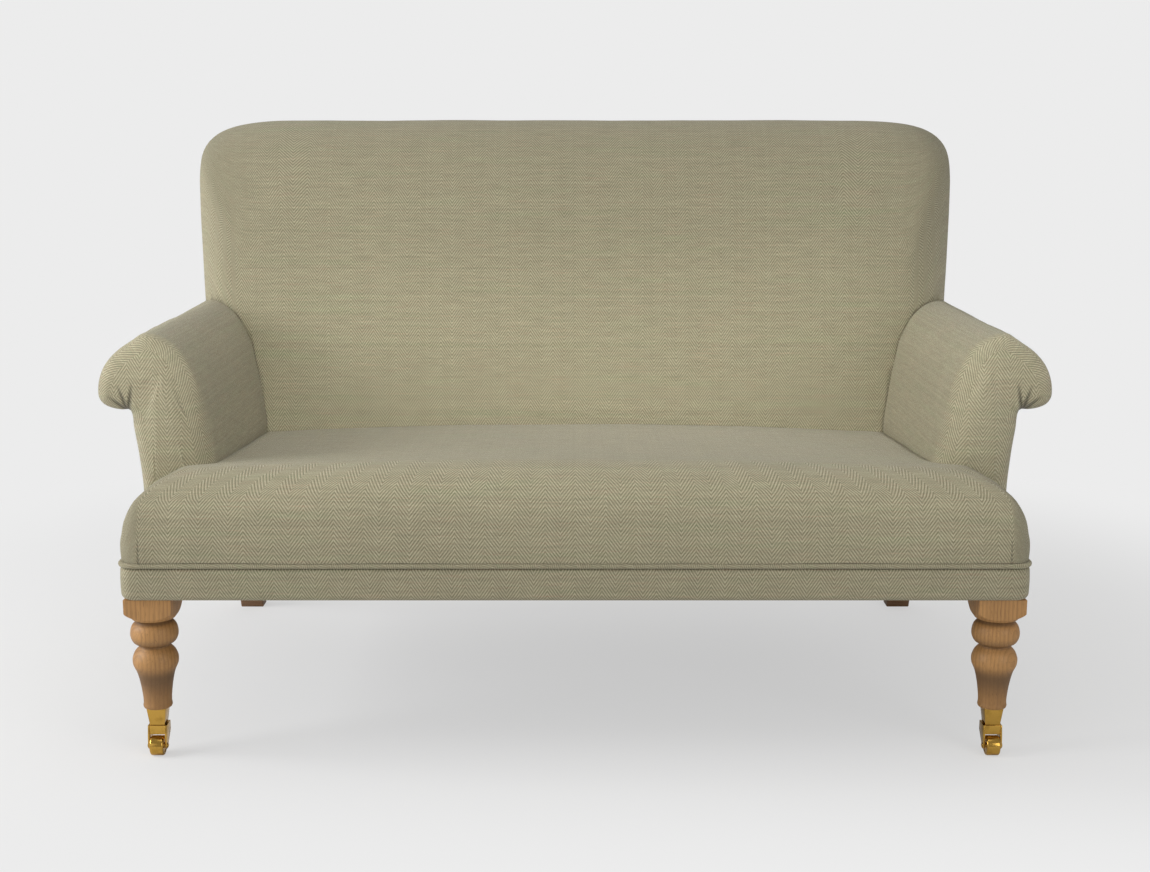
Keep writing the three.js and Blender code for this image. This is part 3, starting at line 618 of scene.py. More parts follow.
def pick(points: Points, places: Points) -> Points:
    """The points at fractions of an index.

    Args:
        points: A line's points.
        places: The fractions.

    Returns:
        A point for each of them.
    """
    low = np.minimum(np.floor(places).astype(int), len(points) - 2)
    share = (places - low)[:, None]
    return points[low] * (1 - share) + points[low + 1] * share


def outward(outline: Points) -> Points:
    """The directions out of a closed outline.

    Args:
        outline: Its points, anticlockwise.

    Returns:
        A direction of length 1 for each of them.
    """
    along = np.roll(outline, -1, axis=0) - np.roll(outline, 1, axis=0)
    out = np.stack([along[:, 1], -along[:, 0]], axis=1)
    return out / np.maximum(np.linalg.norm(out, axis=1), 1e-9)[:, None]


def at_depth(line: Points, y: Union[Points, float]) -> Points:
    """A line seen from the front, put at one depth or at a depth for each of its points."""
    return np.stack([line[:, 0], np.broadcast_to(y, len(line)), line[:, 1]], axis=1)


def new_piece(name: str, mesh: Mesh, material: Optional[Material] = None) -> Object:
    """Puts a mesh in the scene as a piece of its own.

    Args:
        name: The piece's name.
        mesh: Its mesh, already in place.
        material: Its only material.

    Returns:
        The piece.
    """
    mesh.name = name
    piece = bpy.data.objects.new(name, mesh)
    bpy.context.scene.collection.objects.link(piece)
    if material is not None:
        mesh.materials.clear()
        mesh.materials.append(material)
    return piece


def mesh_of(points: Iterable[Sequence[float]], faces: Iterable[Sequence[int]],
            places: Optional[Sequence[Sequence[Sequence[float]]]] = None) -> Mesh:
    """A mesh of points and faces, turned to face outwards.

    Args:
        points: Where the corners are.
        faces: The corners of each face.
        places: For each face, each corner's place in the cloth.

    Returns:
        The mesh, smooth all over.
    """
    points = np.array([tuple(p) for p in points], dtype=float)
    faces = [list(face) for face in faces]
    corners = np.array([(f[0], f[k], f[k + 1]) for f in faces for k in range(1, len(f) - 1)])
    first, second, third = points[corners[:, 0]], points[corners[:, 1]], points[corners[:, 2]]
    volume = float(np.sum(first * np.cross(second, third)))
    if volume < 0:
        faces = [face[::-1] for face in faces]
        places = [list(place)[::-1] for place in places] if places is not None else None
    mesh = bpy.data.meshes.new("made")
    mesh.from_pydata(points.tolist(), [], faces)
    if places is not None:
        layer = mesh.uv_layers.new(name=UV_NAME)
        flat = np.array([corner for place in places for corner in place], dtype=np.float32)
        layer.data.foreach_set("uv", flat.ravel())
    mesh.polygons.foreach_set("use_smooth", [True] * len(mesh.polygons))
    mesh.update()
    return mesh


def zipped(ring: Points) -> list[tuple[int, int, int]]:
    """Triangles that close a long thin ring between its two long sides.

    Args:
        ring: Its points, anticlockwise seen from the outside.

    Returns:
        The triangles, as numbers of the ring's points.
    """
    count, left, right = len(ring), int(ring[:, 0].argmin()), int(ring[:, 0].argmax())
    lower = [(left + k) % count for k in range((right - left) % count + 1)]
    upper = [(left - k) % count for k in range((left - right) % count + 1)]
    low, high, faces = 0, 0, []
    while low < len(lower) - 1 or high < len(upper) - 1:
        spent = high == len(upper) - 1
        if spent or (low < len(lower) - 1 and ring[lower[low + 1], 0] <= ring[upper[high + 1], 0]):
            faces.append((lower[low], lower[low + 1], upper[high]))
            low += 1
        else:
            faces.append((lower[low], upper[high + 1], upper[high]))
            high += 1
    return [face for face in faces if len(set(face)) == 3]


def skin(rings: Points, weave: Points, thin: bool = False) -> Mesh:
    """A closed surface over rings of equal length, its two ends fanned shut.

    Args:
        rings: The rings' points, ring by ring.
        weave: The place in the cloth for both rings of each band between neighbours, with the
            first point of a ring again at its end.
        thin: Whether the last ring is long and thin, and closed between its long sides.

    Returns:
        The mesh.
    """
    count, around = rings.shape[:2]
    points = rings.reshape(-1, 3).tolist()
    faces, places = [], []
    for band in range(count - 1):
        low, high = weave[band]
        for i in range(around):
            j = (i + 1) % around
            a, b = band * around, (band + 1) * around
            faces.append((a + i, a + j, b + j, b + i))
            places.append((low[i], low[i + 1], high[i + 1], high[i]))
    ends = [(0, weave[0][0], True)] + [(count - 1, weave[-1][1], False)] * (not thin)
    for face in zipped(rings[-1]) if thin else ():
        faces.append(tuple((count - 1) * around + i for i in face))
        places.append(tuple(weave[-1][1][i] for i in face))
    for ring, edge, turned in ends:
        points.append(rings[ring].mean(axis=0).tolist())
        heart, heart_place = len(points) - 1, edge[:-1].mean(axis=0)
        for i in range(around):
            j = (i + 1) % around
            face = (heart, ring * around + i, ring * around + j)
            place = (heart_place, edge[i], edge[i + 1])
            faces.append(face[::-1] if turned else face)
            places.append(place[::-1] if turned else place)
    return mesh_of(points, faces, places)


def neighbours(rings: Points) -> Points:
    """Rings as pairs of neighbours."""
    return np.stack([rings[:-1], rings[1:]], axis=1)


def bands(places: Points) -> Points:
    """The places of rings as pairs of neighbours, with each ring's first point again at its end."""
    return neighbours(np.concatenate([places, places[:, :1]], axis=1))


def laid_cloth(rings: Points, edge: int, out: Points, flat: Callable[[Points], Points]) -> Points:
    """Places in a cloth that lies flat inside one ring and is smoothed over the edge beyond it.

    Args:
        rings: The rings' points, from the outside in.
        edge: The ring where the flat part starts.
        out: Unit directions in the cloth out of that ring.
        flat: The place in the cloth of points on the flat part.

    Returns:
        The place of every point.
    """
    places = np.zeros(rings.shape[:2] + (2,))
    far = np.zeros(rings.shape[1])
    places[edge] = flat(rings[edge])
    for ring in range(edge - 1, -1, -1):
        far = far + np.linalg.norm(rings[ring] - rings[ring + 1], axis=1)
        places[ring] = places[edge] + out * far[:, None]
    for ring in range(edge + 1, len(rings)):
        places[ring] = flat(rings[ring])
    return places


@dataclass(frozen=True)
class Filling:
    """How a padded piece swells and settles when it is filled."""

    pressure: float = 4.0
    most: float = 0.005
    frames: int = 20
    unevenness: float = 0.0012
    lump: float = 0.16
    fine_share: float = 0.4
    fineness: float = 2.7
    held: float = 0.02
    stretch: float = 25.0
    bending: float = 2.0

    def fill(self, piece: Object, shift: float, loose: Callable[[Points], Points]) -> None:
        """Settles a piece and swells it.

        Args:
            piece: The piece, which keeps no modifier.
            shift: Where in the noise the piece lies, so that no two are alike.
            loose: For points, how free each is to move, from 0 to 1.
        """
        self.settle(piece, shift)
        self.swell(piece, loose)

    def settle(self, piece: Object, shift: float) -> None:
        """Gives a piece the slight unevenness of hand-laid stuffing.

        Args:
            piece: The piece.
            shift: Where in the noise the piece lies.
        """
        rest = coordinates(piece.data)
        normals = np.zeros(rest.size)
        piece.data.vertex_normals.foreach_get("vector", normals)
        offset = Vector((shift, 2.3 * shift, 0.0))
        places = [Vector(point) / self.lump + offset for point in rest]
        rise = np.array([noise.noise(place) + self.fine_share * noise.noise(place * self.fineness)
                         for place in places])
        put_coordinates(piece.data, rest + normals.reshape(-1, 3) * (rise * self.unevenness)[:, None])

    def swell(self, piece: Object, loose: Callable[[Points], Points]) -> None:
        """Fills a piece under pressure, as cloth.

        Args:
            piece: The piece.
            loose: For points, how free each is to move, from 0 to 1.
        """
        rest = coordinates(piece.data)
        free = loose(rest)
        pins = piece.vertex_groups.new(name="held")
        for index in np.nonzero(free < self.held)[0]:
            pins.add([int(index)], 1.0, "REPLACE")
        cloth = piece.modifiers.new("filling", "CLOTH")
        cloth.settings.quality = 4
        cloth.settings.mass = 0.4
        cloth.settings.tension_stiffness = self.stretch
        cloth.settings.compression_stiffness = self.stretch
        cloth.settings.bending_stiffness = self.bending
        cloth.settings.use_pressure = True
        cloth.settings.uniform_pressure_force = self.pressure
        cloth.settings.effector_weights.gravity = 0.0
        cloth.settings.vertex_group_mass = pins.name
        cloth.collision_settings.use_collision = False
        scene = bpy.context.scene
        for frame_number in range(1, self.frames + 1):
            scene.frame_set(frame_number)
        filled = piece.evaluated_get(bpy.context.evaluated_depsgraph_get())
        moved = coordinates(filled.data) - rest
        piece.modifiers.remove(cloth)
        piece.vertex_groups.remove(pins)
        scene.frame_set(1)
        far = np.maximum(np.linalg.norm(moved, axis=1), 1e-9)
        held = self.most * np.tanh(far / self.most) / far * free
        put_coordinates(piece.data, rest + moved * held[:, None])


def eased(distance: Points, held: float, run: float) -> Points:
    """How free a cover is: not at all within a distance, and wholly from a run further on."""
    return np.clip((distance - held) / run, 0, 1)


def coordinates(mesh: Mesh) -> Points:
    """Where a mesh's points are.

    Args:
        mesh: The mesh.

    Returns:
        A row for each point.
    """
    flat = np.zeros(len(mesh.vertices) * 3)
    mesh.vertices.foreach_get("co", flat)
    return flat.reshape(-1, 3)


def put_coordinates(mesh: Mesh, points: Points) -> None:
    """Moves a mesh's points."""
    mesh.vertices.foreach_set("co", points.ravel())
    mesh.update()


def plain_result(piece: Object) -> None:
    """Turns a piece's modifiers into its mesh.

    Args:
        piece: The piece, which keeps its mesh's name.
    """
    made = bpy.data.meshes.new_from_object(piece.evaluated_get(bpy.context.evaluated_depsgraph_get()))
    piece.modifiers.clear()
    name, old = piece.data.name, piece.data
    piece.data = made
    bpy.data.meshes.remove(old)
    made.name = name


class Join(Enum):
    """What two solids are made into."""

    CUT = "DIFFERENCE"
    COMMON = "INTERSECT"
    BOTH = "UNION"


def combine(piece: Object, other: Object, join: Join, keep: bool = True) -> None:
    """Cuts, joins or trims a piece with another closed solid.

    Args:
        piece: The piece that changes.
        other: The solid that it is worked with.
        join: What is done.
        keep: Whether the other solid stays.
    """
    tool = piece.modifiers.new("join", "BOOLEAN")
    tool.operation = join.value
    tool.solver = "MANIFOLD"
    tool.object = other
    before = len(piece.data.polygons)
    result = piece.evaluated_get(bpy.context.evaluated_depsgraph_get())
    if len(result.data.polygons) == 0 and before:
        tool.solver = "EXACT"
    plain_result(piece)
    if not keep:
        mesh = other.data
        bpy.data.objects.remove(other)
        bpy.data.meshes.remove(mesh)


def keep_clear(piece: Object, nodes: Iterable[str]) -> None:
    """Cuts nodes of the frame out of a piece."""
    for node in nodes:
        combine(piece, node_solid(node), Join.CUT, keep=False)


def edges_sharp_past(piece: Object, degrees: float) -> None:
    """Shades a piece smoothly, except along its sharp edges.

    Args:
        piece: The piece.
        degrees: The least angle between faces at a sharp edge.
    """
    mesh = piece.data
    mesh.polygons.foreach_set("use_smooth", [True] * len(mesh.polygons))
    mesh.set_sharp_from_angle(angle=math.radians(degrees))


def block(low: Sequence[float], high: Sequence[float]) -> Object:
    """A plain closed box, for cutting with.

    Args:
        low: Its lowest corner.
        high: Its highest corner.

    Returns:
        The box.
    """
    x, y, z = zip(low, high)
    points = [(x[i], y[j], z[k]) for i in (0, 1) for j in (0, 1) for k in (0, 1)]
    faces = [(0, 1, 3, 2), (4, 6, 7, 5), (0, 4, 5, 1), (2, 3, 7, 6), (0, 2, 6, 4), (1, 5, 7, 3)]
    return new_piece("tool", mesh_of(points, faces))


def side_block(side: "Side", inner: float, low: Sequence[float], high: Sequence[float]) -> Object:
    """A plain closed box that starts beside the middle and ends past the settee.

    Args:
        side: The half of the settee that it is on.
        inner: How far from the middle it starts.
        low: Its least depth and height.
        high: Its greatest depth and height.

    Returns:
        The box.
    """
    left, right = sorted((side.value * inner, side.value * FAR))
    return block((left, *low), (right, *high))


def node_solid(node: str, name: str = "tool", material: Optional[Material] = None) -> Object:
    """A closed copy of a node of the frame, for cutting with or for finishing.

    Args:
        node: The node.
        name: The copy's name.
        material: Its only material, where it gets one.

    Returns:
        The copy.
    """
    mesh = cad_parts[node].data.copy()
    shape = bmesh.new()
    shape.from_mesh(mesh)
    bmesh.ops.remove_doubles(shape, verts=shape.verts, dist=1e-6)
    bmesh.ops.dissolve_limit(shape, angle_limit=0.001, verts=shape.verts, edges=shape.edges)
    shape.to_mesh(mesh)
    shape.free()
    return new_piece(name, mesh, material)


def report(piece: Object, body: str, nodes: Sequence[str] = ()) -> None:
    """Tells the frame what a piece is.

    Args:
        piece: The piece.
        body: The body that it rides on.
        nodes: The nodes that it stands for.
    """
    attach(piece, body)
    if nodes:
        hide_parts(*nodes)
    log.info("%s rides on %s, %d faces", piece.name, body, len(piece.data.polygons))


@dataclass(frozen=True)
class Box:
    """The seat box and the lines that lean with the back, with Y from the front legs' axis."""

    half_width: float = 0.706
    front: float = -0.045
    bottom: float = 0.263
    border: float = 0.052
    border_thickness: float = 0.012
    corner: float = 0.024
    welt: float = 0.0045
    welt_proud: float = 0.0025
    foot_y: float = 0.735
    rake: float = math.radians(5)
    panel: float = 0.010
    face_y: float = 0.560
    face_z: float = 0.431
    face_rake: float = math.radians(8)

    @property
    def welt_z(self) -> float:
        """Height of the welt's middle."""
        return self.bottom + self.border + GAP + self.welt

    @property
    def padding_bottom(self) -> float:
        """Where the padding starts."""
        return self.welt_z + self.welt + GAP

    def panel_y(self, z: Points) -> Points:
        """Depth of the outside of the back at a height."""
        return self.foot_y + (z - self.bottom) * math.tan(self.rake)

    def frame_rear(self, z: Points) -> Points:
        """Depth of the rear of the frame at a height."""
        return self.panel_y(z) - self.panel - GAP

    def back_face(self, z: Points) -> Points:
        """Depth of the flat of the inside back at a height."""
        return self.face_y + (z - self.face_z) * math.tan(self.face_rake)


def in_frame(points: Points) -> Points:
    """Points with Y from the front legs' axis, moved to the frame's own."""
    return points + np.array([0.0, LEG_AXIS_Y, 0.0])


@dataclass
class Arm:
    """A padded roll arm with a flat front and a thin panel under the outside of the roll."""

    side: Side
    box: Box
    finishes: Finishes
    width: float = 0.186
    overhang: float = 0.064
    side_inset: float = 0.0048
    top: float = 0.6615
    front: float = 0.100
    edge: float = 0.024
    dome: float = 0.004
    panel: float = 0.006
    panel_proud: float = 0.0004
    filling: Filling = Filling(pressure=3.5, most=0.0035)
    slack: float = 0.0015
    points_round: int = 168
    points_below: int = 12
    face_rings: int = 14
    turn_rings: int = 9
    side_rings: int = 56

    ROLL = ((0, 0), (0, 0.2), (0.002, 0.33), (0.03, 0.43), (0.085, 0.61), (0.145, 0.765), (0.21, 0.862),
            (0.285, 0.93), (0.385, 0.974), (0.5, 0.997), (0.6, 0.997), (0.705, 0.957), (0.8, 0.92),
            (0.88, 0.879), (0.945, 0.829), (0.985, 0.772), (1, 0.716), (0.99, 0.672), (0.945, 0.643),
            (0.87, 0.629), (0.79, 0.624), (0.712, 0.622))
    """The section over and under the roll: share of the width, share of the height."""

    WALL = ((0.168, 0.54), (0.087, 0.41), (0.019, 0.25), (0, 0))
    """The outside below the roll: share of the way out to the roll, share of the height."""

    HEART = (0.43, 0.82)
    """Where the front face's rings close: share of the width, share of the height."""

    INSIDE = ("arm_front_post", "arm_top_rail", "arm_stuffing_rail", "side_seat_rail", "back_leg_and_upright",
              "front_corner_post")
    """The timbers that the padding lies round."""

    @property
    def inner_x(self) -> float:
        """Distance of the inner face from the middle."""
        return self.box.half_width + self.overhang - self.width

    def up(self, share: float) -> float:
        """A height of the section."""
        return self.box.padding_bottom + share * (self.top - self.box.padding_bottom)

    def wall(self) -> list[tuple[float, float]]:
        """The outside below the roll.

        Returns:
            Its points, from the roll down.
        """
        wall_x = self.box.half_width - self.side_inset
        reach = self.box.half_width + self.overhang - wall_x
        return [(wall_x + out * reach, self.up(up)) for out, up in self.WALL]

    def section(self) -> Points:
        """The whole section, seen from the front.

        Returns:
            Its points, evenly spaced.
        """
        roll = [(self.inner_x + across * self.width, self.up(up)) for across, up in self.ROLL]
        heart = np.array(self.heart())
        coarse = np.array(roll + self.wall())
        coarse = coarse + (heart - coarse) / np.linalg.norm(heart - coarse, axis=1)[:, None] * self.slack
        line = curve_through(coarse, closed=False)
        below = np.linspace(line[-1][0], line[0][0], self.points_below + 2)[1:-1]
        base = np.stack([below, np.full(self.points_below, line[0][1])], axis=1)
        even = pick(line, even_picks(line, self.points_round - self.points_below))
        whole = np.concatenate([even, base])
        whole[:, 1] = np.maximum(whole[:, 1], self.box.padding_bottom)
        return whole[::-1]

    def heart(self) -> tuple[float, float]:
        """The middle of the front face."""
        return (self.inner_x + self.HEART[0] * self.width, self.up(self.HEART[1]))

    def rings(self) -> tuple[Points, Points]:
        """The arm from the middle of its front face to its rear.

        Returns:
            The rings, and the place in the cloth for both rings of each band between neighbours.
        """
        section, heart = self.section(), np.array(self.heart())
        drawn = section - outward(section) * self.edge
        for _ in range(6):
            drawn = 0.5 * drawn + 0.25 * (np.roll(drawn, 1, axis=0) + np.roll(drawn, -1, axis=0))
        drawn[:, 1] = np.maximum(drawn[:, 1], self.box.padding_bottom)
        shares = np.linspace(0.05, 1.0, self.face_rings)
        face = np.array([heart + (drawn - heart) * share for share in shares])
        rings = [at_depth(ring, self.front - self.dome * (1 - share**2))
                 for ring, share in zip(face, shares)]
        run = distances(np.concatenate([section, section[:1]]))
        beside = [np.stack([np.zeros(len(run)), run], axis=1)]
        for angle in np.linspace(0, math.pi / 2, self.turn_rings)[1:]:
            start = self.front + self.edge * (1 - math.cos(angle))
            rings.append(at_depth(drawn + (section - drawn) * math.sin(angle), start))
            beside.append(np.stack([np.full(len(run), angle * self.edge), run], axis=1))
        rear, first = self.box.frame_rear(section[:, 1]), beside[-1][0, 0]
        for share in np.linspace(0, 1, self.side_rings)[1:]:
            y = start + (rear - start) * share
            rings.append(at_depth(section, y))
            beside.append(np.stack([first + (np.append(y, y[0]) - start), run], axis=1))
        return np.array(rings), np.concatenate([bands(face), neighbours(np.array(beside))])

    def free(self, points: Points) -> Points:
        """How free the cover is to swell.

        Args:
            points: Places on the cover.

        Returns:
            From 0 to 1 for each of them.
        """
        tuck = np.hypot(np.abs(points[:, 0]) - TUCK[0], points[:, 2] - TUCK[1])
        rear = self.box.frame_rear(points[:, 2]) + LEG_AXIS_Y - points[:, 1]
        return np.minimum.reduce([eased(points[:, 2] - self.box.padding_bottom, 0.02, 0.06),
                                  eased(tuck, 0.010, 0.04), eased(rear, 0.01, 0.05)])

    def build_outside(self) -> Object:
        """The thin padded panel under the outside of the roll.

        Returns:
            The panel, cut off at the frame's rear.
        """
        wall = np.array(self.wall())
        front, high = self.front + self.edge + GAP, self.box.panel_y(np.array(self.top)) + 0.04
        outer = curve_through(wall + [self.panel_proud, 0], closed=False, fineness=10)
        inner = curve_through(wall - [self.panel, 0], closed=False, fineness=10)[::-1]
        section = np.concatenate([outer, inner])
        run = distances(np.concatenate([section, section[:1]]))
        rings, weave = [], []
        lead = [(front, 0.0015), (front + 0.0006, 0.0006), (front + 0.0018, 0.0)]
        stations = lead + [(y, 0.0) for y in np.linspace(front + 0.01, high, 60)]
        middle = section.mean(axis=0)
        for y, inward in stations:
            away = section - middle
            ring = section - away / np.maximum(np.linalg.norm(away, axis=1), 1e-9)[:, None] * inward
            rings.append(at_depth(ring, y))
            weave.append(np.stack([np.full(len(run), y), run], axis=1))
        rings = in_frame(np.array(rings)) * [self.side.value, 1, 1]
        mesh = skin(rings, neighbours(np.array(weave)))
        piece = new_piece(f"outside_arm_cover_{self.side.word}", mesh, self.finishes.cloth)
        combine(piece, self.rear_block(), Join.CUT, keep=False)
        return piece

    def rear_block(self) -> Object:
        """Everything behind the frame's raked rear, for cutting with.

        Returns:
            The block.
        """
        low, high, rear = -0.1, 1.4, self.box.frame_rear
        corners = ((rear(low), low), (FAR, low), (FAR, high), (rear(high), high))
        points = [(x, y + LEG_AXIS_Y, z) for x in (-1.2, 1.2) for y, z in corners]
        faces = [(0, 1, 2, 3), (7, 6, 5, 4), (0, 4, 5, 1), (1, 5, 6, 2), (2, 6, 7, 3), (3, 7, 4, 0)]
        return new_piece("tool", mesh_of(points, faces))

    def build(self) -> Object:
        """The padded arm and its panel, both reported to the frame.

        Returns:
            The padded arm.
        """
        rings, weave = self.rings()
        rings = in_frame(rings) * [self.side.value, 1, 1]
        piece = new_piece(f"arm_cover_{self.side.word}", skin(rings, weave), self.finishes.cloth)
        self.filling.fill(piece, 3.0 + self.side.value, self.free)
        outside = self.build_outside()
        combine(piece, outside, Join.CUT)
        keep_clear(piece, [f"{node}_{self.side.word}" for node in self.INSIDE])
        edges_sharp_past(piece, 50)
        edges_sharp_past(outside, 50)
        report(piece, "root", [f"arm_padding_{self.side.word}"])
        report(outside, "root", [f"outside_arm_panel_{self.side.word}"])
        return piece


@dataclass
class Back:
    """The tall padded back, rolled over at the top, with a flat cover behind."""

    box: Box
    finishes: Finishes
    height: float = 0.994
    half_width: float = 0.733
    taper: float = 0.028
    across: float = 0.230
    down: float = 0.115
    power: float = 0.57
    side_in: float = 0.095
    side_depth: float = 0.106
    top_down: float = 0.220
    top_depth: float = 0.140
    crown: float = 0.009
    panel_inset: float = 0.005
    panel_turn: float = 0.34
    arm_rail_x: float = 0.658
    arm_rail_top: float = 0.602
    filling: Filling = Filling(pressure=3.5, most=0.004)
    slack: float = 0.0015
    foot_points: int = 48
    side_points: int = 30
    corner_points: int = 30
    top_points: int = 34
    turn_rings: int = 19
    face_rings: int = 18

    INSIDE = ("back_top_rail", "back_lower_rail", "back_webbing", "rear_seat_rail",
              "back_leg_and_upright_left", "back_leg_and_upright_right")
    """What the padding lies against."""

    def corner_angles(self) -> Points:
        """Angles that space the points of an upper corner evenly.

        Returns:
            The angles, from the side to the top.
        """
        fine = np.linspace(0, math.pi / 2, 1500)
        line = np.stack([self.across * np.cos(fine) ** self.power,
                         self.down * np.sin(fine) ** self.power], axis=1)
        return np.interp(even_picks(line, self.corner_points + 1), np.arange(len(fine)), fine)

    def outline(self, side: float, top: float, bottom: float) -> Points:
        """The back seen from the front, drawn in at its sides and top.

        Args:
            side: How far in at the sides.
            top: How far down at the top.
            bottom: Its lowest height.

        Returns:
            The closed outline, anticlockwise from the middle of its foot.
        """
        high, wide = self.height - top, self.half_width - side
        across = max(self.across - side, self.down * 0.5)
        down = min(max(self.down - top, self.down * 0.5), (high - bottom) * 0.45)
        foot = [(x, bottom) for x in np.linspace(0, wide - self.taper, self.foot_points + 1)[:-1]]
        shares = np.linspace(0, 1, self.side_points + 1)[:-1]
        edge = [(wide - self.taper * (1 - s), bottom + s * (high - down - bottom)) for s in shares]
        turn = [(wide - across * (1 - math.cos(a) ** self.power),
                 high - down * (1 - math.sin(a) ** self.power))
                for a in np.minimum(self.corner_angles(), math.pi / 2 - 1e-9)]
        ridge = [(x, high) for x in np.linspace(wide - across, 0, self.top_points + 1)[1:]]
        right = np.array(foot + edge + turn + ridge)
        left = right[1:-1][::-1] * [-1, 1]
        return np.concatenate([right, left])

    def round_depth(self, z: Points) -> Points:
        """How deep the rounded edge is.

        Args:
            z: Heights.

        Returns:
            The depth at each.
        """
        share = np.clip((z - (self.height - self.top_down)) / self.top_down, 0, 1)
        share = share * share * (3 - 2 * share)
        return self.side_depth + (self.top_depth - self.side_depth) * share

    def rings(self) -> tuple[Points, int]:
        """The back from its rear to the middle of its front.

        Returns:
            The rings, and the number of the ring where the flat starts.
        """
        box, foot, rings = self.box, self.box.padding_bottom, []
        side = self.outline(self.slack, self.slack, foot)
        start = box.back_face(side[:, 1]) + self.round_depth(side[:, 1])
        for share in (0.0, 0.25, 0.5, 0.75):
            rings.append(at_depth(side, box.frame_rear(side[:, 1]) * (1 - share) + start * share))
        for angle in np.linspace(0, math.pi / 2, self.turn_rings):
            inward = 1 - math.cos(angle)
            line = self.outline(self.side_in * inward + self.slack, self.top_down * inward + self.slack, foot)
            deep = self.round_depth(line[:, 1])
            start = box.back_face(line[:, 1]) + deep
            rings.append(at_depth(line, start - deep * math.sin(angle) + self.slack))
        edge = len(rings) - 1
        room = (self.height - self.top_down - foot) / 2
        for share in np.linspace(0, 0.985, self.face_rings)[1:]:
            drawn = share * room
            line = self.outline(self.side_in + drawn, self.top_down + drawn, foot + drawn)
            bow = self.crown * (1 - (1 - share) ** 2.4)
            rings.append(at_depth(line, box.back_face(line[:, 1]) - bow + self.slack))
        return np.array(rings), edge

    def free(self, points: Points) -> Points:
        """How free the cover is to swell.

        Args:
            points: Places on the cover.

        Returns:
            From 0 to 1 for each of them.
        """
        rear = self.box.frame_rear(points[:, 2]) + LEG_AXIS_Y - points[:, 1]
        return np.minimum(eased(points[:, 2] - self.box.padding_bottom, 0.02, 0.08), eased(rear, 0.004, 0.05))

    def build(self, arms: Sequence[Object]) -> Object:
        """The padded back, fitted between the arms.

        Args:
            arms: The padded arms.

        Returns:
            The padded back.
        """
        rings, edge = self.rings()
        out = outward(rings[0][:, [0, 2]])
        lean = math.cos(self.box.face_rake)
        places = laid_cloth(rings, edge, out, lambda p: np.stack([p[:, 0], p[:, 2] / lean], axis=1))
        mesh = skin(in_frame(rings), bands(places), thin=True)
        piece = new_piece("inside_back_cover", mesh, self.finishes.cloth)
        self.filling.fill(piece, 11.0, self.free)
        for arm in arms:
            combine(piece, arm, Join.CUT)
        for side in Side:
            rail = side_block(side, self.arm_rail_x, (-FAR, BELOW), (FAR, self.arm_rail_top))
            combine(piece, rail, Join.CUT, keep=False)
        keep_clear(piece, self.INSIDE)
        edges_sharp_past(piece, 50)
        report(piece, "root", ["inside_back_padding"])
        return piece

    def build_outside(self) -> None:
        """The flat cover behind the back, with a softly turned edge."""
        box, rings, weave = self.box, [], []
        near = box.panel * 0.55
        stations = [(0.0, 0.0), (0.0, 0.3), (0.0, 0.6)]
        stations += [(near * (1 - math.cos(a)), 1 - 0.4 * (1 - math.sin(a)))
                     for a in np.linspace(0, math.pi / 2, 7)]
        stations += [(near + share * self.panel_turn, 1.0) for share in np.linspace(0, 1, 17)[1:]]
        for inward, back in stations:
            foot = box.bottom + GAP + min(inward, 0.3)
            line = self.outline(self.panel_inset + inward, self.panel_inset + inward, foot)
            y = box.panel_y(line[:, 1]) - box.panel * (1 - back)
            rings.append(at_depth(line, y))
            weave.append(np.stack([-line[:, 0], line[:, 1] + (y - box.panel_y(line[:, 1]))], axis=1))
        mesh = skin(in_frame(np.array(rings)), bands(np.array(weave)))
        piece = new_piece("outside_back_cover", mesh, self.finishes.cloth)
        edges_sharp_past(piece, 50)
        report(piece, "root", ["outside_back_panel"])


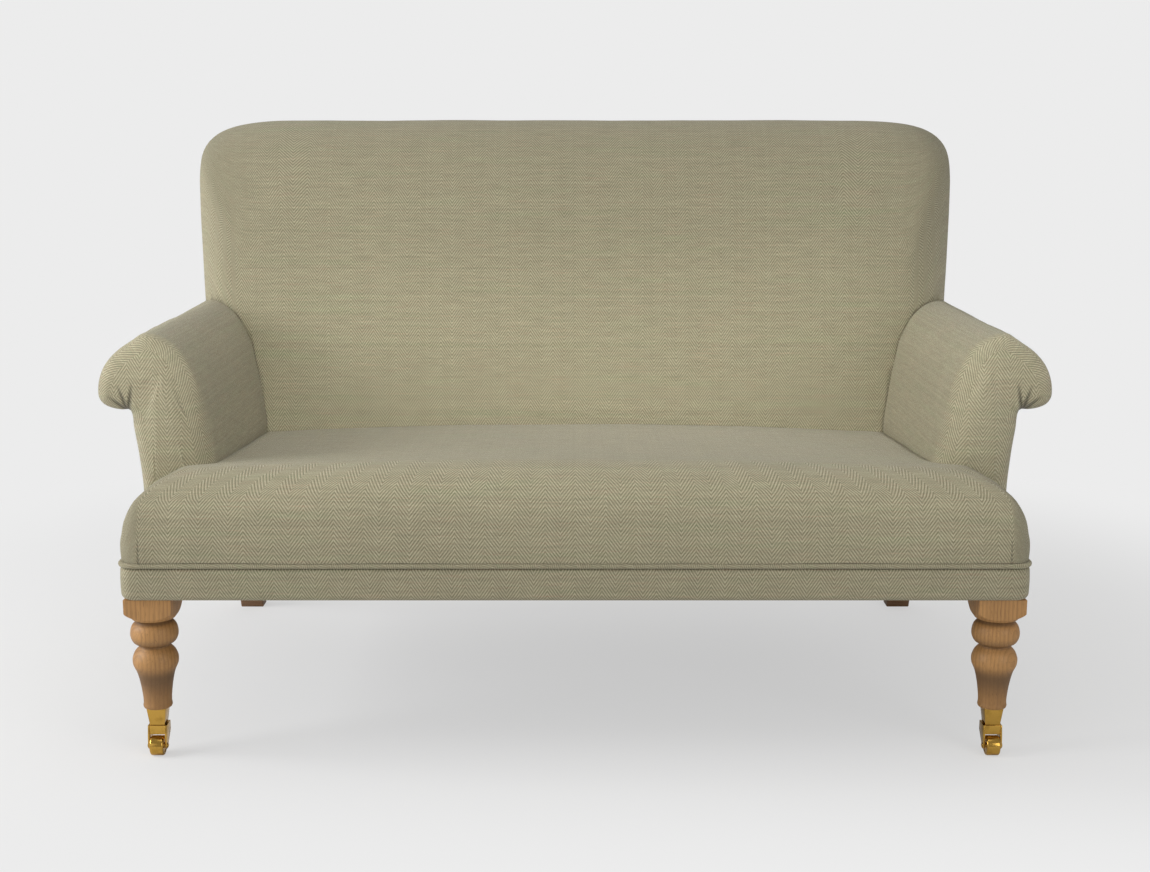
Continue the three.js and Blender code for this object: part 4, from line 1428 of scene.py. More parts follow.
@dataclass
class Seat:
    """The sprung seat, crowned and rolled over at its front, fitted round the arms."""

    box: Box
    finishes: Finishes
    half_width: float = 0.703
    bulge: float = 0.004
    edge: float = 0.080
    corner: float = 0.028
    crown: float = 0.470
    crown_y: float = 0.040
    rear_fall: float = 0.039
    side_fall: float = 0.022
    fall_power: float = 0.85
    depth: float = 0.745
    recess: tuple[float, float, float] = (0.574, 0.522, 0.401)
    free_to_x: float = 0.594
    free_to_y: float = 0.125
    filling: Filling = Filling(pressure=3.5, most=0.004)
    slack: float = 0.0015
    corner_points: int = 9
    front_points: int = 118
    side_points: int = 62
    rise_rings: int = 9
    turn_rings: int = 15
    top_rings: int = 22

    INSIDE = ("front_seat_rail", "rear_seat_rail", "side_seat_rail_left", "side_seat_rail_right",
              "front_corner_post_left", "front_corner_post_right", "arm_front_post_left",
              "arm_front_post_right")
    """The timbers that the padding lies round."""

    def height(self, points: Points) -> Points:
        """Height of the crowned seat.

        Args:
            points: Places seen from above.

        Returns:
            The height at each.
        """
        back = np.clip((points[:, 1] - self.crown_y) / (self.box.face_y - self.crown_y), 0, 1)
        side = points[:, 0] / self.half_width
        return self.crown - self.slack - self.rear_fall * back**self.fall_power - self.side_fall * side * side

    def outline(self, inward: float) -> Points:
        """The seat seen from above.

        Args:
            inward: How far it is drawn in all round.

        Returns:
            Its points, anticlockwise from its right front corner.
        """
        left, right = inward - self.half_width, self.half_width - inward
        front, rear = inward + self.box.front, self.depth + self.box.front - inward
        radius = min(max(self.corner - inward, self.corner * 0.3), (rear - front) * 0.45)
        turns, runs = [], (self.side_points, self.front_points) * 2
        for x, y, start in ((right - radius, front + radius, -90), (right - radius, rear - radius, 0),
                            (left + radius, rear - radius, 90), (left + radius, front + radius, 180)):
            angles = np.radians(np.linspace(start, start + 90, self.corner_points))
            turns.append(np.array([x, y]) + radius * np.stack([np.cos(angles), np.sin(angles)], axis=1))
        points = []
        for turn, after, run in zip(turns, turns[1:] + turns[:1], runs):
            shares = np.linspace(0, 1, run + 1)[1:-1]
            points += [*turn, *[turn[-1] + (after[0] - turn[-1]) * share for share in shares]]
        return np.array(points)

    def rings(self) -> tuple[Points, int]:
        """The seat from its foot to the middle of its top.

        Returns:
            The rings, and the number of the ring where the flat starts.
        """
        foot, rings = self.box.padding_bottom, []
        for up in np.linspace(0, 1, self.rise_rings):
            bulge = np.interp(up, (0, 0.35, 0.7, 1), (0.7, 1.0, 1.0, 0.4)) * self.bulge
            line = self.outline(self.slack - bulge)
            top = self.height(line) - self.edge
            rings.append(np.column_stack([line, foot + up * (top - foot)]))
        for angle in np.linspace(0, math.pi / 2, self.turn_rings)[1:]:
            keep = 0.4 * self.bulge * (1 - math.sin(angle))
            line = self.outline(self.slack - keep + self.edge * (1 - math.cos(angle)))
            rings.append(np.column_stack([line, self.height(line) - self.edge * (1 - math.sin(angle))]))
        edge = len(rings) - 1
        for share in np.linspace(0, 0.98, self.top_rings)[1:]:
            line = self.outline(self.edge + share * (self.depth / 2 - self.edge))
            rings.append(np.column_stack([line, self.height(line)]))
        return np.array(rings), edge

    def free(self, points: Points) -> Points:
        """How free the cover is to swell: it is held at its foot, under the back and round the arms.

        Args:
            points: Places on the cover.

        Returns:
            From 0 to 1 for each of them.
        """
        foot = eased(points[:, 2] - self.box.padding_bottom, 0.004, 0.05)
        rear = eased(self.box.face_y + LEG_AXIS_Y - points[:, 1], 0.0, 0.05)
        beside = eased(self.free_to_x - np.abs(points[:, 0]), 0.0, 0.04)
        ahead = eased(self.free_to_y + LEG_AXIS_Y - points[:, 1], 0.0, 0.04)
        return np.minimum.reduce([foot, rear, np.maximum(beside, ahead)])

    def build(self, arms: Sequence[Object], back: Object, arm: Arm) -> None:
        """The padded seat, fitted to the arms and the back.

        Args:
            arms: The padded arms.
            back: The padded back.
            arm: The sizes of an arm.
        """
        rings, edge = self.rings()
        places = laid_cloth(rings, edge, outward(rings[edge][:, :2]), lambda p: p[:, :2])
        mesh = skin(in_frame(rings), bands(places), thin=True)
        piece = new_piece("seat_cover", mesh, self.finishes.cloth)
        self.filling.fill(piece, 23.0, self.free)
        for other in (*arms, back):
            combine(piece, other, Join.CUT)
        wide, rear, top = self.recess
        behind_arm, behind = arm.front + arm.edge + LEG_AXIS_Y, self.box.face_y + LEG_AXIS_Y + 0.01
        for room in (*[side_block(side, arm.inner_x, (behind_arm, BELOW), (FAR, FAR)) for side in Side],
                     block((-1, behind, BELOW), (1, FAR, FAR)),
                     block((-wide, LEG_AXIS_Y - 0.0004, BELOW), (wide, rear + LEG_AXIS_Y, top))):
            combine(piece, room, Join.CUT, keep=False)
        keep_clear(piece, self.INSIDE)
        edges_sharp_past(piece, 50)
        report(piece, "root", ["seat_padding"])


class Repeat(Board):
    """A Geometry Nodes tree with named inputs, for what repeats or follows a path."""

    def __init__(self, name: str, sizes: Mapping[str, float]) -> None:
        """Starts a tree.

        Args:
            name: The tree's name.
            sizes: Its named inputs and what they are set to.
        """
        self.group = bpy.data.node_groups.new(name, "GeometryNodeTree")
        super().__init__(self.group)
        self.sizes = dict(sizes)
        face = self.group.interface
        face.new_socket("Geometry", in_out="INPUT", socket_type="NodeSocketGeometry")
        self.names = {size: face.new_socket(size, in_out="INPUT", socket_type="NodeSocketFloat").identifier
                      for size in self.sizes}
        face.new_socket("Geometry", in_out="OUTPUT", socket_type="NodeSocketGeometry")
        self.start = self.node("NodeGroupInput")

    def size(self, name: str) -> Value:
        """One of the named inputs."""
        return Value(self, self.start.outputs[name])

    def line(self) -> NodeSocket:
        """The piece's own line as a curve."""
        return self.node("GeometryNodeMeshToCurve", inputs={0: self.start.outputs[0]}).outputs[0]

    def store(self, geometry: NodeSocket, name: str, value: NodeSocket,
              kind: str = "FLOAT", domain: str = "POINT") -> NodeSocket:
        """A geometry with a value kept on it under a name."""
        settings = {"data_type": kind, "domain": domain}
        inputs = {0: geometry, "Name": name, "Value": value}
        return self.node("GeometryNodeStoreNamedAttribute", settings, inputs).outputs[0]

    def stored(self, name: str) -> Value:
        """A number that was kept under a name."""
        made = self.node("GeometryNodeInputNamedAttribute", {"data_type": "FLOAT"}, {"Name": name})
        return Value(self, made.outputs[0])

    def finish(self, geometry: NodeSocket, material: Material) -> None:
        """Ends the tree in smooth, real geometry.

        Args:
            geometry: What the tree has made.
            material: Its only material.
        """
        smooth = self.node("GeometryNodeSetShadeSmooth", inputs={0: geometry})
        real = self.node("GeometryNodeRealizeInstances", inputs={0: smooth.outputs[0]})
        dressed = self.node("GeometryNodeSetMaterial", inputs={0: real.outputs[0], "Material": material})
        self.node("NodeGroupOutput", inputs={0: dressed.outputs[0]})

    def apply(self, piece: Object) -> None:
        """Runs the tree on a piece.

        Args:
            piece: The piece, which keeps the result as its mesh.
        """
        tool = piece.modifiers.new("repeat", "NODES")
        tool.node_group = self.group
        for size, value in self.sizes.items():
            tool[self.names[size]] = value
        plain_result(piece)


def path_piece(name: str, points: Points, closed: bool = False) -> Object:
    """A mesh of a single line, for a tree to follow.

    Args:
        name: The piece's name.
        points: The line's points.
        closed: Whether it comes back to its start.

    Returns:
        The piece.
    """
    mesh = bpy.data.meshes.new(name)
    edges = [(i, i + 1) for i in range(len(points) - 1)]
    if closed:
        edges.append((len(points) - 1, 0))
    mesh.from_pydata(np.asarray(points).tolist(), edges, [])
    return new_piece(name, mesh)


@dataclass
class Trim:
    """The border band and the welt that run round the front and sides of the seat box."""

    box: Box
    finishes: Finishes
    swell: float = 0.0012
    low_round: float = 0.009
    high_round: float = 0.005
    back_round: float = 0.002
    side_points: int = 60
    corner_points: int = 13
    front_points: int = 56

    def path(self, inward: float = 0.0) -> tuple[Points, Points]:
        """A line round the box, from its right rear to its left rear.

        Args:
            inward: How far inside the box it runs.

        Returns:
            Its points, and the direction outwards at each.
        """
        box = self.box
        rear = float(box.frame_rear(np.array(box.bottom)))
        wide, radius = box.half_width - inward, box.corner - inward
        centre = np.array([box.half_width - box.corner, box.front + box.corner])
        points = [(wide, y) for y in np.linspace(rear, centre[1], self.side_points + 1)[:-1]]
        outs = [(1.0, 0.0)] * self.side_points
        for angle in np.radians(np.linspace(0, -90, self.corner_points)):
            out = (math.cos(angle), math.sin(angle))
            points.append((centre[0] + radius * out[0], centre[1] + radius * out[1]))
            outs.append(out)
        for x in np.linspace(centre[0], 0, self.front_points + 1)[1:]:
            points.append((x, box.front + inward))
            outs.append((0.0, -1.0))
        right, right_out = np.array(points), np.array(outs)
        left, left_out = right[:-1][::-1] * [-1, 1], right_out[:-1][::-1] * [-1, 1]
        return np.concatenate([right, left]), np.concatenate([right_out, left_out])

    def section(self) -> Points:
        """The band's section, with a full outer face and rounded edges.

        Returns:
            Its points: how far out and how high.
        """
        box = self.box
        low, high, deep = box.bottom, box.bottom + box.border, -box.border_thickness
        corners = ((0.0, low, self.low_round, -90), (0.0, high, self.high_round, 0),
                   (deep, high, self.back_round, 90), (deep, low, self.back_round, 180))
        points = []
        for x, z, radius, start in corners:
            centre = (x - radius if x == 0.0 else x + radius, z + radius if z == low else z - radius)
            for angle in np.radians(np.linspace(start, start + 90, 8)):
                points.append((centre[0] + radius * math.cos(angle), centre[1] + radius * math.sin(angle)))
        line, dense = np.array(points), []
        for a, b in zip(line, np.roll(line, -1, axis=0)):
            steps = 5 if np.linalg.norm(b - a) > 0.01 else 1
            dense += [a + (b - a) * s for s in np.linspace(0, 1, steps + 1)[:-1]]
        dense = np.array(dense)
        full = np.clip(1 - ((dense[:, 1] - (low + high) / 2) / (box.border * 0.5)) ** 2, 0, 1)
        dense[:, 0] += np.where(dense[:, 0] > -0.006, (full - 0.6) * self.swell, 0.0)
        return dense

    def build_band(self) -> None:
        """The padded border band, reported to the frame."""
        points, outs = self.path()
        section = self.section()
        run = distances(points)
        up = np.append(section[:, 1], section[0, 1]) + np.append(section[:, 0], section[0, 0]) * 0.3
        rings, weave = [], []
        for point, out, far in zip(points, outs, run):
            flat = point + section[:, :1] * out
            rings.append(np.column_stack([flat, section[:, 1]]))
            weave.append(np.stack([np.full(len(up), far - run[-1] / 2), up], axis=1))
        mesh = skin(in_frame(np.array(rings)), neighbours(np.array(weave)))
        piece = new_piece("border_band_cover", mesh, self.finishes.cloth)
        edges_sharp_past(piece, 60)
        report(piece, "root", ["seat_border_band"])

    def build_welt(self) -> None:
        """The covered cord above the band, which follows the box as one tube of cloth cut on the bias."""
        box = self.box
        points, _ = self.path(inward=box.welt - box.welt_proud)
        line = np.column_stack([points, np.full(len(points), box.welt_z)])
        piece = path_piece("welt_cover", in_frame(line))
        tree = Repeat("welt", {"Radius": box.welt})
        walked = tree.node("GeometryNodeSplineParameter").outputs["Length"]
        ring = tree.node("GeometryNodeCurvePrimitiveCircle",
                         inputs={"Resolution": 14, "Radius": tree.size("Radius")})
        tube = tree.node("GeometryNodeCurveToMesh", inputs={
            0: tree.store(tree.line(), "along", walked), 1: tree.store(ring.outputs[0], "around", walked),
            "Fill Caps": True})
        along, around = tree.stored("along"), tree.stored("around")
        slant = tree.node("ShaderNodeCombineXYZ", inputs={0: along + around, 1: around - along})
        woven = tree.store(tube.outputs[0], UV_NAME, slant.outputs[0], "FLOAT2", "CORNER")
        tree.finish(woven, self.finishes.cloth)
        tree.apply(piece)
        report(piece, "root", ["seat_welt"])


@dataclass
class UnderSide:
    """The lining cloth under the seat and the tacks that hold it."""

    box: Box
    finishes: Finishes
    grid: float = 0.05
    sag: float = 0.0035
    ripple: float = 0.13
    tack_pitch: float = 0.045
    tack_radius: float = 0.0045
    tack_inset: float = 0.011
    corner_reach: float = 0.075

    def build_lining(self) -> None:
        """The lining cloth, hanging a little between its tacked edges."""
        piece = node_solid("dust_cover", "lining_cloth", self.finishes.lining)
        shape = bmesh.new()
        shape.from_mesh(piece.data)
        bmesh.ops.triangulate(shape, faces=shape.faces)
        for axis, normal in enumerate((Vector((1, 0, 0)), Vector((0, 1, 0)))):
            spread = [v.co[axis] for v in shape.verts]
            place = math.floor(min(spread) / self.grid) * self.grid + self.grid
            while place < max(spread) - 1e-4:
                geometry = shape.verts[:] + shape.edges[:] + shape.faces[:]
                bmesh.ops.bisect_plane(shape, geom=geometry, plane_co=normal * place, plane_no=normal)
                place += self.grid
        bmesh.ops.remove_doubles(shape, verts=shape.verts, dist=1e-6)
        low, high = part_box("dust_cover")
        for vertex in shape.verts:
            off = [abs((vertex.co[k] - (low[k] + high[k]) / 2) / ((high[k] - low[k]) / 2)) for k in (0, 1)]
            across, along = [max(1 - share**4, 0) for share in off]
            uneven = 0.6 + 0.4 * noise.noise(vertex.co / self.ripple)
            vertex.co.z -= across * along * self.sag * uneven
        layer = shape.loops.layers.uv.new(UV_NAME)
        for face in shape.faces:
            for loop in face.loops:
                loop[layer].uv = (loop.vert.co.x, loop.vert.co.y)
        shape.to_mesh(piece.data)
        shape.free()
        edges_sharp_past(piece, 40)
        report(piece, "root", ["dust_cover"])

    def build_tacks(self) -> None:
        """Round tack heads, evenly spaced along the lining's edge, as one piece."""
        low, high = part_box("dust_cover")
        inset, reach = self.tack_inset, self.corner_reach
        corners = [(low[0] + reach, low[1] + inset), (high[0] - reach, low[1] + inset),
                   (high[0] - inset, low[1] + reach), (high[0] - inset, high[1] - reach),
                   (high[0] - reach, high[1] - inset), (low[0] + reach, high[1] - inset),
                   (low[0] + inset, high[1] - reach), (low[0] + inset, low[1] + reach)]
        line = np.array([(x, y, low[2]) for x, y in corners])
        piece = path_piece("lining_tacks", line, closed=True)
        tree = Repeat("tacks", {"Pitch": self.tack_pitch, "Radius": self.tack_radius})
        spots = tree.node("GeometryNodeCurveToPoints", {"mode": "LENGTH"}, {
            0: tree.line(), "Length": tree.size("Pitch")})
        head = tree.node("GeometryNodeMeshUVSphere", inputs={
            "Segments": 10, "Rings": 6, "Radius": tree.size("Radius")})
        flat = tree.node("GeometryNodeTransform", inputs={0: head.outputs[0], "Scale": (1.0, 1.0, 0.36)})
        many = tree.node("GeometryNodeInstanceOnPoints", inputs={
            0: spots.outputs[0], "Instance": flat.outputs[0]})
        tree.finish(many.outputs[0], self.finishes.steel)
        tree.apply(piece)
        report(piece, "root")


@dataclass
class Webbing:
    """Straps woven over and under each other, in place of one thin sheet of the frame."""

    finishes: Finishes
    strap: float = 0.050
    room: float = 0.008
    thickness: float = 0.0006
    rise: float = 0.0003
    steps: int = 5

    def build(self, node: str, name: str) -> None:
        """The straps that fill a sheet's outline, reported to the frame.

        Args:
            node: The sheet's node.
            name: The piece's name.
        """
        sheet = coordinates(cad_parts[node].data)
        low, high = sheet.min(axis=0), sheet.max(axis=0)
        upright = high[2] - low[2] > high[1] - low[1]
        up_low, up_high = (low[2], high[2]) if upright else (low[1], high[1])
        bottom, top = [sheet[np.abs(sheet[:, 2] - end[2]) < 1e-4] for end in (low, high)]

        def lift(along: float, off: float) -> tuple[float, float]:
            """Where a place on the sheet is.

            Args:
                along: Its depth, or its height where the sheet is upright.
                off: How far it is off the sheet's middle.

            Returns:
                Its depth and height.
            """
            if not upright:
                return along, (low[2] + high[2]) / 2 + off
            share = (along - low[2]) / (high[2] - low[2])
            return bottom[:, 1].mean() * (1 - share) + top[:, 1].mean() * share + off, along

        pitch = self.strap + self.room
        columns = self._lanes(low[0], high[0], pitch)
        rows = self._lanes(up_low, up_high, pitch)
        points, faces, places = [], [], []
        for number, x in enumerate(columns):
            line = [(x, along, self._wave(along, rows, number))
                    for along in np.linspace(up_low, up_high, self.steps * len(rows))]
            self._strap(points, faces, places, line, lift, across_x=True)
        for number, along in enumerate(rows):
            line = [(x, along, -self._wave(x, columns, number))
                    for x in np.linspace(low[0], high[0], self.steps * len(columns))]
            self._strap(points, faces, places, line, lift, across_x=False)
        piece = new_piece(name, mesh_of(points, faces, places), self.finishes.jute)
        report(piece, "root", [node])

    def _lanes(self, low: float, high: float, pitch: float) -> list[float]:
        """As many straps as fit between two edges.

        Args:
            low: One edge.
            high: The other.
            pitch: From the middle of one strap to the next.

        Returns:
            The middle of each.
        """
        count = max(int((high - low + self.room) / pitch), 1)
        first = (low + high) / 2 - (count - 1) * pitch / 2
        return [first + number * pitch for number in range(count)]

    def _wave(self, place: float, lanes: Sequence[float], number: int) -> float:
        """How far a strap is off the middle, over one crossing and under the next."""
        lane = (place - lanes[0]) / max(lanes[-1] - lanes[0], 1e-6) * (len(lanes) - 1)
        return math.cos(lane * math.pi + (number % 2) * math.pi) * (self.rise + self.thickness / 2)

    def _strap(self, points: list, faces: list, places: list, line: Sequence[tuple[float, float, float]],
               lift: Callable[[float, float], tuple[float, float]], across_x: bool) -> None:
        """Adds one closed strap.

        Args:
            points: The mesh's points so far.
            faces: Its faces so far.
            places: Their corners' places in the cloth so far.
            line: The strap's middle: across, along the sheet and off it.
            lift: Where a place on the sheet is.
            across_x: Whether the strap's width is across the settee.
        """
        first, half = len(points), self.strap / 2
        for x, along, off in line:
            for side, face in ((-1, -1), (1, -1), (1, 1), (-1, 1)):
                place = (x + side * half, along) if across_x else (x, along + side * half)
                y, z = lift(place[1], off + face * self.thickness / 2)
                points.append((place[0], y, z))
        far = [place[1 if across_x else 0] for place in line]
        edge = (-half, half, half, -half)
        for k in range(len(line) - 1):
            for i in range(4):
                j = (i + 1) % 4
                face = (4 * k + i, 4 * k + j, 4 * k + 4 + j, 4 * k + 4 + i)
                faces.append(tuple(first + corner for corner in face))
                places.append([(edge[corner % 4], far[corner // 4]) for corner in face])
        for ring, turned in ((0, True), (len(line) - 1, False)):
            face = [first + 4 * ring + i for i in range(4)]
            face = face[::-1] if turned else face
            faces.append(tuple(face))
            places.append([(0.0, 0.0)] * 4)


def turned_piece(name: str, profile: Sequence[tuple[float, float]], sides: int, material: Material) -> Object:
    """A solid turned round Z from a profile that starts and ends on the axis.

    Args:
        name: The piece's name.
        profile: Distances from the axis and heights, from the lowest up.
        sides: How many faces go round.
        material: Its material.

    Returns:
        The piece.
    """
    points, faces = [(0.0, 0.0, profile[0][1])], []
    inner = profile[1:-1]
    for radius, z in inner:
        for i in range(sides):
            angle = 2 * math.pi * i / sides
            points.append((radius * math.cos(angle), radius * math.sin(angle), z))
    points.append((0.0, 0.0, profile[-1][1]))
    last = len(points) - 1
    for i in range(sides):
        j = (i + 1) % sides
        faces.append((0, 1 + j, 1 + i))
        for k in range(len(inner) - 1):
            a, b = 1 + k * sides, 1 + (k + 1) * sides
            faces.append((a + i, a + j, b + j, b + i))
        top = 1 + (len(inner) - 1) * sides
        faces.append((top + i, top + j, last))
    return new_piece(name, mesh_of(points, faces), material)


def move(piece: Object, way: Sequence[float]) -> None:
    """Moves a piece's mesh."""
    put_coordinates(piece.data, coordinates(piece.data) + np.array(way))


def bevel(piece: Object, width: float, segments: int = 3, degrees: float = 25) -> None:
    """Rounds a piece's edges.

    Args:
        piece: The piece.
        width: How wide the rounding is.
        segments: How many steps it has.
        degrees: The least angle of an edge that is rounded.
    """
    tool = piece.modifiers.new("bevel", "BEVEL")
    tool.width = width
    tool.segments = segments
    tool.limit_method = "ANGLE"
    tool.angle_limit = math.radians(degrees)
    tool.use_clamp_overlap = True
    plain_result(piece)


@dataclass
class FrontLeg:
    """A square block over a turned stem, on a castor."""

    side: Side
    finishes: Finishes
    x: float = 0.664
    block: float = 0.074
    top: float = 0.2627
    corner_z: float = 0.2405
    dip_z: float = 0.2297
    neck_z: float = 0.223
    foot_z: float = 0.078
    eased: float = 0.0016
    neck_rise: float = 0.0022
    overlap: float = 0.004

    STEM = ((0.7, 1), (0.77, 0.978), (0.93, 0.93), (1.005, 0.858), (0.985, 0.8), (0.88, 0.747),
            (0.7, 0.718), (0.64, 0.706), (0.67, 0.69), (0.85, 0.637), (0.95, 0.575), (0.965, 0.54),
            (0.94, 0.49), (0.8, 0.405), (0.68, 0.27), (0.61, 0.135), (0.595, 0.06), (0.615, 0.02), (0.59, 0))
    """The turning: share of half the block, share of the height to the foot."""

    def shoulder(self) -> list[tuple[float, float]]:
        """The profile that turns the block's lower corners away.

        Returns:
            Distances from the axis and heights, from the lowest up.
        """
        half = self.block / 2
        reach, diagonal = self.block, half * math.sqrt(2)
        neck = self.STEM[0][0] * half
        below = [(0, self.neck_z), (neck, self.neck_z),
                 (neck + (half - neck) * 0.7, self.neck_z + self.neck_rise)]
        bow = [(half + (diagonal - half) * s, self.dip_z + (self.corner_z - self.dip_z) * s**1.5)
               for s in np.linspace(0, 1, 9)]
        above = [(reach, self.corner_z + (reach - diagonal) * 0.5), (reach, self.top), (0, self.top)]
        return below + bow + above

    def build(self) -> None:
        """The leg, reported to the frame."""
        half = self.block / 2
        piece = turned_piece(f"turned_leg_{self.side.word}", self.shoulder(), 128, self.finishes.oak)
        square = block((-half, -half, self.neck_z - 0.05), (half, half, self.top))
        combine(piece, square, Join.COMMON, keep=False)
        bevel(piece, self.eased, degrees=35)
        stem = np.array([(wide * half, self.foot_z + up * (self.neck_z - self.foot_z))
                         for wide, up in self.STEM])
        line = curve_through(stem, closed=False, fineness=5)[::-1]
        inside = self.neck_z + self.overlap
        profile = [(0, self.foot_z), *line.tolist(), (line[-1][0] * 0.98, inside), (0, inside)]
        lower = turned_piece("tool", profile, 96, self.finishes.oak)
        combine(piece, lower, Join.BOTH, keep=False)
        edges_sharp_past(piece, 32)
        move(piece, (self.side.value * self.x, LEG_AXIS_Y, 0))
        report(piece, "root", [f"front_leg_{self.side.word}"])


@dataclass
class Castor:
    """A square brass cup, a forked yoke that swivels under it and a barrel wheel."""

    side: Side
    finishes: Finishes
    x: float = 0.664
    trail: float = 0.012
    radius: float = 0.0159
    width: float = 0.0216
    edge: float = 0.003
    bore: float = 0.0028
    axle: float = 0.0025
    head: float = 0.0042
    yoke_half: float = 0.015
    crown_low: float = 0.0400
    crown_extra: float = 0.0060
    ring_depth: float = 0.0008
    rivet: float = 0.0014

    def thicken(self, points: Points) -> Points:
        """The yoke's points, with its crown as thick as a casting's."""
        points[np.abs(points[:, 2] - self.crown_low) < 0.0005, 2] -= self.crown_extra
        return points

    def rounded(self, node: str, name: str, width: float,
                shape: Optional[Callable[[Points], Points]] = None) -> Object:
        """A copy of one of the castor's nodes with its edges rounded.

        Args:
            node: The node, without its side.
            name: The copy's name, without its side.
            width: How wide its edges are rounded.
            shape: What is done to its points first.

        Returns:
            The copy.
        """
        word = self.side.word
        piece = node_solid(f"{node}_{word}", f"{name}_{word}", self.finishes.brass)
        if shape:
            put_coordinates(piece.data, shape(coordinates(piece.data)))
        bevel(piece, width)
        edges_sharp_past(piece, 30)
        return piece

    def crossways(self, name: str, profile: Sequence[tuple[float, float]], sides: int) -> Object:
        """A turned piece laid on the wheel's axis.

        Args:
            name: Its name.
            profile: Distances from the axis and along it.
            sides: How many faces go round.

        Returns:
            The piece.
        """
        piece = turned_piece(name, profile, sides, self.finishes.brass)
        points = coordinates(piece.data)
        laid = np.stack([points[:, 2], points[:, 1], -points[:, 0]], axis=1)
        put_coordinates(piece.data, laid + [self.side.value * self.x, LEG_AXIS_Y - self.trail, self.radius])
        return piece

    def build_wheel(self) -> Object:
        """The barrel wheel, with a ring turned into each of its faces.

        Returns:
            The wheel.
        """
        half, floor = self.width / 2, self.width / 2 - self.ring_depth
        arc = [(self.radius - self.edge + self.edge * math.sin(a), half - self.edge + self.edge * math.cos(a))
               for a in np.linspace(0, math.pi / 2, 7)]
        face = [(self.bore, half), (self.head + 0.0006, half), (self.head + 0.0012, floor),
                (self.radius - self.edge - 0.0018, floor), (self.radius - self.edge - 0.0010, half)]
        upper = face + arc
        lower = [(r, -z) for r, z in upper]
        profile = [(0, -half), *lower, *upper[::-1], (0, half)]
        piece = self.crossways(f"brass_wheel_{self.side.word}", profile, 72)
        hole = self.crossways("tool", [(0, -0.1), (self.bore, -0.1), (self.bore, 0.1), (0, 0.1)], 40)
        combine(piece, hole, Join.CUT, keep=False)
        edges_sharp_past(piece, 30)
        return piece

    def build_axle(self) -> Object:
        """The axle, riveted over at both ends.

        Returns:
            The axle.
        """
        face = self.yoke_half + GAP
        end = face + self.rivet
        dome = [(self.head * math.cos(a), face + self.rivet * math.sin(a))
                for a in np.linspace(0, math.pi / 2, 6)[:-1]]
        upper = [(self.axle, face)] + dome
        lower = [(r, -z) for r, z in upper]
        profile = [(0, -end), *lower[::-1], *upper, (0, end)]
        return self.crossways(f"brass_axle_{self.side.word}", profile, 72)

    def build(self) -> None:
        """Every piece of the castor, reported to the frame."""
        word = self.side.word
        swivel = f"castor_{word}"
        for part, body, piece in (
                ("cup", "root", self.rounded("castor_cup", "brass_cup", 0.0009)),
                ("yoke", swivel, self.rounded("castor_yoke", "brass_yoke", 0.0007, self.thicken)),
                ("swivel_pin", swivel, self.rounded("castor_swivel_pin", "brass_pin", 0.0003)),
                ("axle", swivel, self.build_axle()), ("wheel", f"wheel_{word}", self.build_wheel())):
            report(piece, body, [f"castor_{part}_{word}"])


@dataclass
class Timber:
    """The frame's own timbers, dressed, and the raked back legs with eased edges."""

    finishes: Finishes
    eased: float = 0.002

    RAW = ("front_seat_rail", "rear_seat_rail", "centre_seat_rail", "side_seat_rail", "front_corner_post",
           "rear_corner_brace", "back_top_rail", "back_lower_rail", "arm_front_post", "arm_top_rail",
           "arm_stuffing_rail")

    def build(self) -> None:
        """Dresses the timbers and springs, and makes the back legs."""
        for name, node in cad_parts.items():
            if name.startswith("seat_spring"):
                self.paint(node, self.finishes.steel)
            elif name.startswith(self.RAW):
                self.paint(node, self.finishes.beech)
        for side in Side:
            node = f"back_leg_and_upright_{side.word}"
            piece = node_solid(node, f"raked_leg_{side.word}", self.finishes.dark_wood)
            bevel(piece, self.eased)
            edges_sharp_past(piece, 30)
            report(piece, "root", [node])

    @staticmethod
    def paint(node: Object, material: Material) -> None:
        """Gives a node of the frame a better material."""
        for slot in node.material_slots:
            slot.material = material


@dataclass(frozen=True)
class Lamp:
    """A soft rectangular lamp: place, width, watts, what it points at, height and spread."""

    name: str
    place: tuple[float, float, float]
    width: float
    power: float
    goal: tuple[float, float, float] = (0.0, -0.1, 0.5)
    height: float = 0.0
    spread: float = math.pi

    def build(self) -> None:
        """Makes the lamp, square where it has no height of its own."""
        data = bpy.data.lights.new(self.name, "AREA")
        data.shape = "RECTANGLE"
        data.size, data.size_y = self.width, self.height or self.width
        data.energy = self.power
        data.spread = self.spread
        lamp = bpy.data.objects.new(self.name, data)
        lamp.location = self.place
        lamp.rotation_euler = (Vector(self.goal) - Vector(self.place)).to_track_quat("-Z", "Y").to_euler()
        bpy.context.scene.collection.objects.link(lamp)


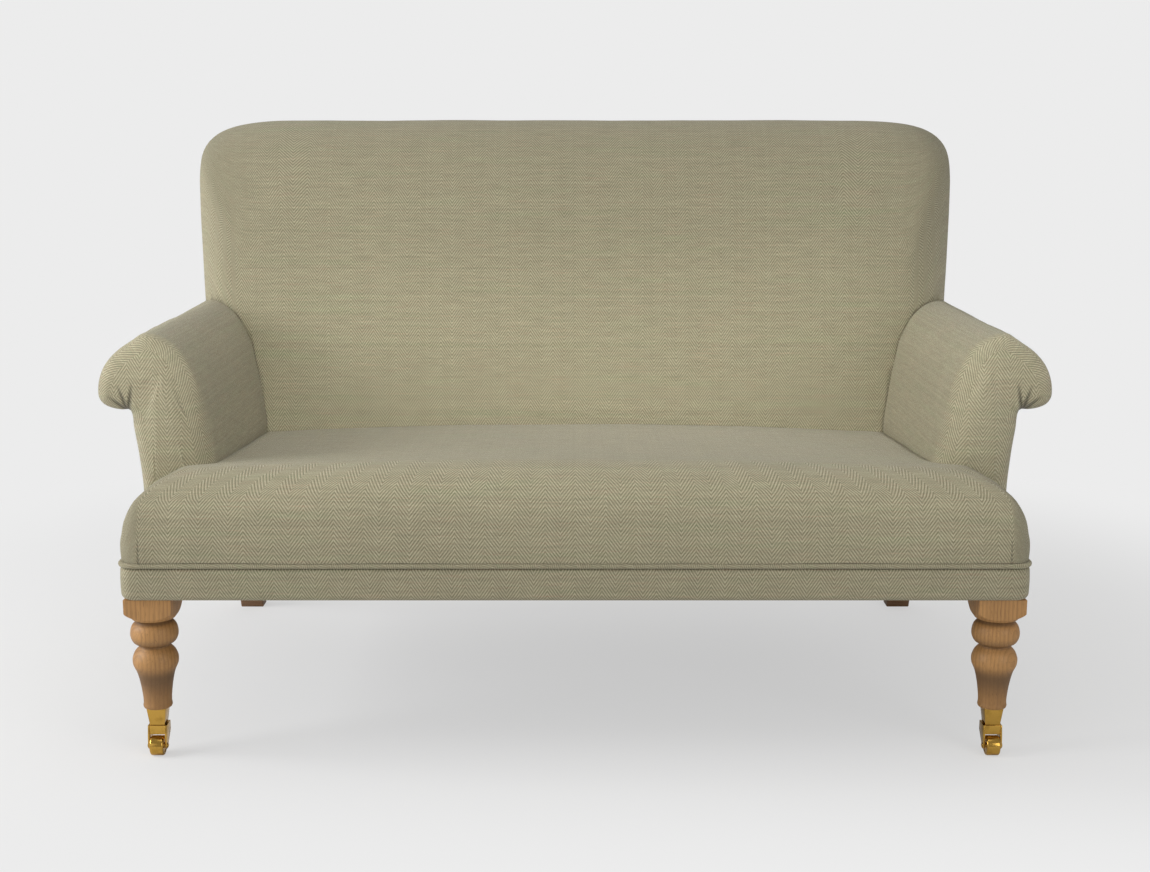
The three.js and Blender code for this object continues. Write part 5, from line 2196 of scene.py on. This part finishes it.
@dataclass
class Studio:
    """A pale floor and backdrop, soft light and the photograph's camera."""

    eye: tuple[float, float, float] = (0.0, -2.8515, 0.994)
    pitch: float = math.radians(11)
    lens: float = 50.93
    sensor: float = 36.0
    floor_colour: Colour = colour("ECECEC")
    shadow_lift: float = 0.62
    sky: float = 0.46
    floor_half: float = 30.0

    LAMPS = (Lamp("left", (-3.6, -0.8, 1.8), 2.0, 103.0), Lamp("front_left", (-2.6, -3.2, 1.3), 2.0, 7.0),
             Lamp("front_right", (2.6, -3.2, 1.6), 2.0, 31.0), Lamp("overhead", (0.0, -0.6, 3.6), 2.6, 20.0),
             Lamp("strip", (0.0, -2.4, 1.62), 1.5, 1.3, (0.0, 0.14, 0.50), 0.35, math.radians(18)))
    """The soft lamps, and a strip with a narrow spread for the lower back."""

    def build(self) -> None:
        """Makes the studio."""
        bpy.context.scene.view_settings.view_transform = "Standard"
        self.build_camera()
        self.build_floor()
        self.build_world()
        for lamp in self.LAMPS:
            lamp.build()

    def build_camera(self) -> None:
        """The camera of the photograph."""
        data = bpy.data.cameras.new("photograph")
        data.lens = self.lens
        data.sensor_width = self.sensor
        data.sensor_fit = "HORIZONTAL"
        camera = bpy.data.objects.new("photograph", data)
        camera.location = self.eye
        camera.rotation_euler = (math.pi / 2 - self.pitch, 0, 0)
        bpy.context.scene.collection.objects.link(camera)
        bpy.context.scene.camera = camera

    def build_floor(self) -> None:
        """A wide floor that fades into the backdrop and keeps a soft shadow."""
        half = self.floor_half
        mesh = bpy.data.meshes.new("floor")
        mesh.from_pydata([(-half, -half, 0), (half, -half, 0), (half, half, 0), (-half, half, 0)], [],
                         [(0, 1, 2, 3)])
        board = Finish("studio_floor")
        x, y, _ = board.place()
        away = (x**2 + (y - 0.2) ** 2).root()
        seen = Value(board, board.node("ShaderNodeLightPath").outputs["Is Camera Ray"])
        clear = away.step(1.0, 1.9).most((y * -1.0).step(0.45, 0.85))
        lift = seen * (clear * (1 - self.shadow_lift) + self.shadow_lift)
        matt = board.node("ShaderNodeBsdfDiffuse", inputs={"Color": self.floor_colour})
        glow = board.node("ShaderNodeEmission", inputs={"Color": self.floor_colour, "Strength": 1.0})
        mix = board.node("ShaderNodeMixShader", inputs={0: lift, 1: matt.outputs[0], 2: glow.outputs[0]})
        board.node("ShaderNodeOutputMaterial", inputs={0: mix.outputs[0]})
        floor = new_piece("floor", mesh, board.material)

    def build_world(self) -> None:
        """An even pale sky, as bright as the backdrop where it is seen."""
        world = bpy.data.worlds.new("studio")
        bpy.context.scene.world = world
        world.use_nodes = True
        board = Board(world.node_tree)
        rays = board.node("ShaderNodeLightPath").outputs
        seen = Value(board, rays["Is Camera Ray"]).most(Value(board, rays["Is Transmission Ray"]))
        strength = seen * (1.0 - self.sky) + self.sky
        sky = board.node("ShaderNodeBackground", inputs={"Color": self.floor_colour, "Strength": strength})
        board.node("ShaderNodeOutputWorld", inputs={0: sky.outputs[0]})


def creases(box: Box) -> tuple[Crease, ...]:
    """The tucks at the fronts of the arms and the darts at the front corners of the seat.

    Args:
        box: The seat box's sizes.

    Returns:
        The creases.
    """
    tucks = [Crease(TUCK, end, width=0.0066, rearmost=LEG_AXIS_Y + 0.116)
             for end in ((0.7470, 0.5613), (0.7300, 0.5798), (0.7060, 0.5841))]
    dart = Crease((0.671, box.padding_bottom), (0.671, 0.372), width=0.0030,
                  rearmost=LEG_AXIS_Y - 0.02, share=0.5)
    return (*tucks, dart)


def main() -> None:
    """Builds the settee's pieces in order and puts them in the studio."""
    logging.basicConfig(level=logging.INFO, format="%(name)s: %(message)s")
    box = Box()
    finishes = Finishes(creases(box))
    sides = [Arm(side, box, finishes) for side in Side]
    arms = [arm.build() for arm in sides]
    back = Back(box, finishes)
    back_piece = back.build(arms)
    Seat(box, finishes).build(arms, back_piece, sides[0])
    back.build_outside()
    trim = Trim(box, finishes)
    trim.build_band()
    trim.build_welt()
    under = UnderSide(box, finishes)
    under.build_lining()
    under.build_tacks()
    webbing = Webbing(finishes)
    webbing.build("seat_webbing", "seat_straps")
    webbing.build("back_webbing", "back_straps")
    for side in Side:
        FrontLeg(side, finishes).build()
        Castor(side, finishes).build()
    Timber(finishes).build()
    Studio().build()


if __name__ == "__main__":
    main()
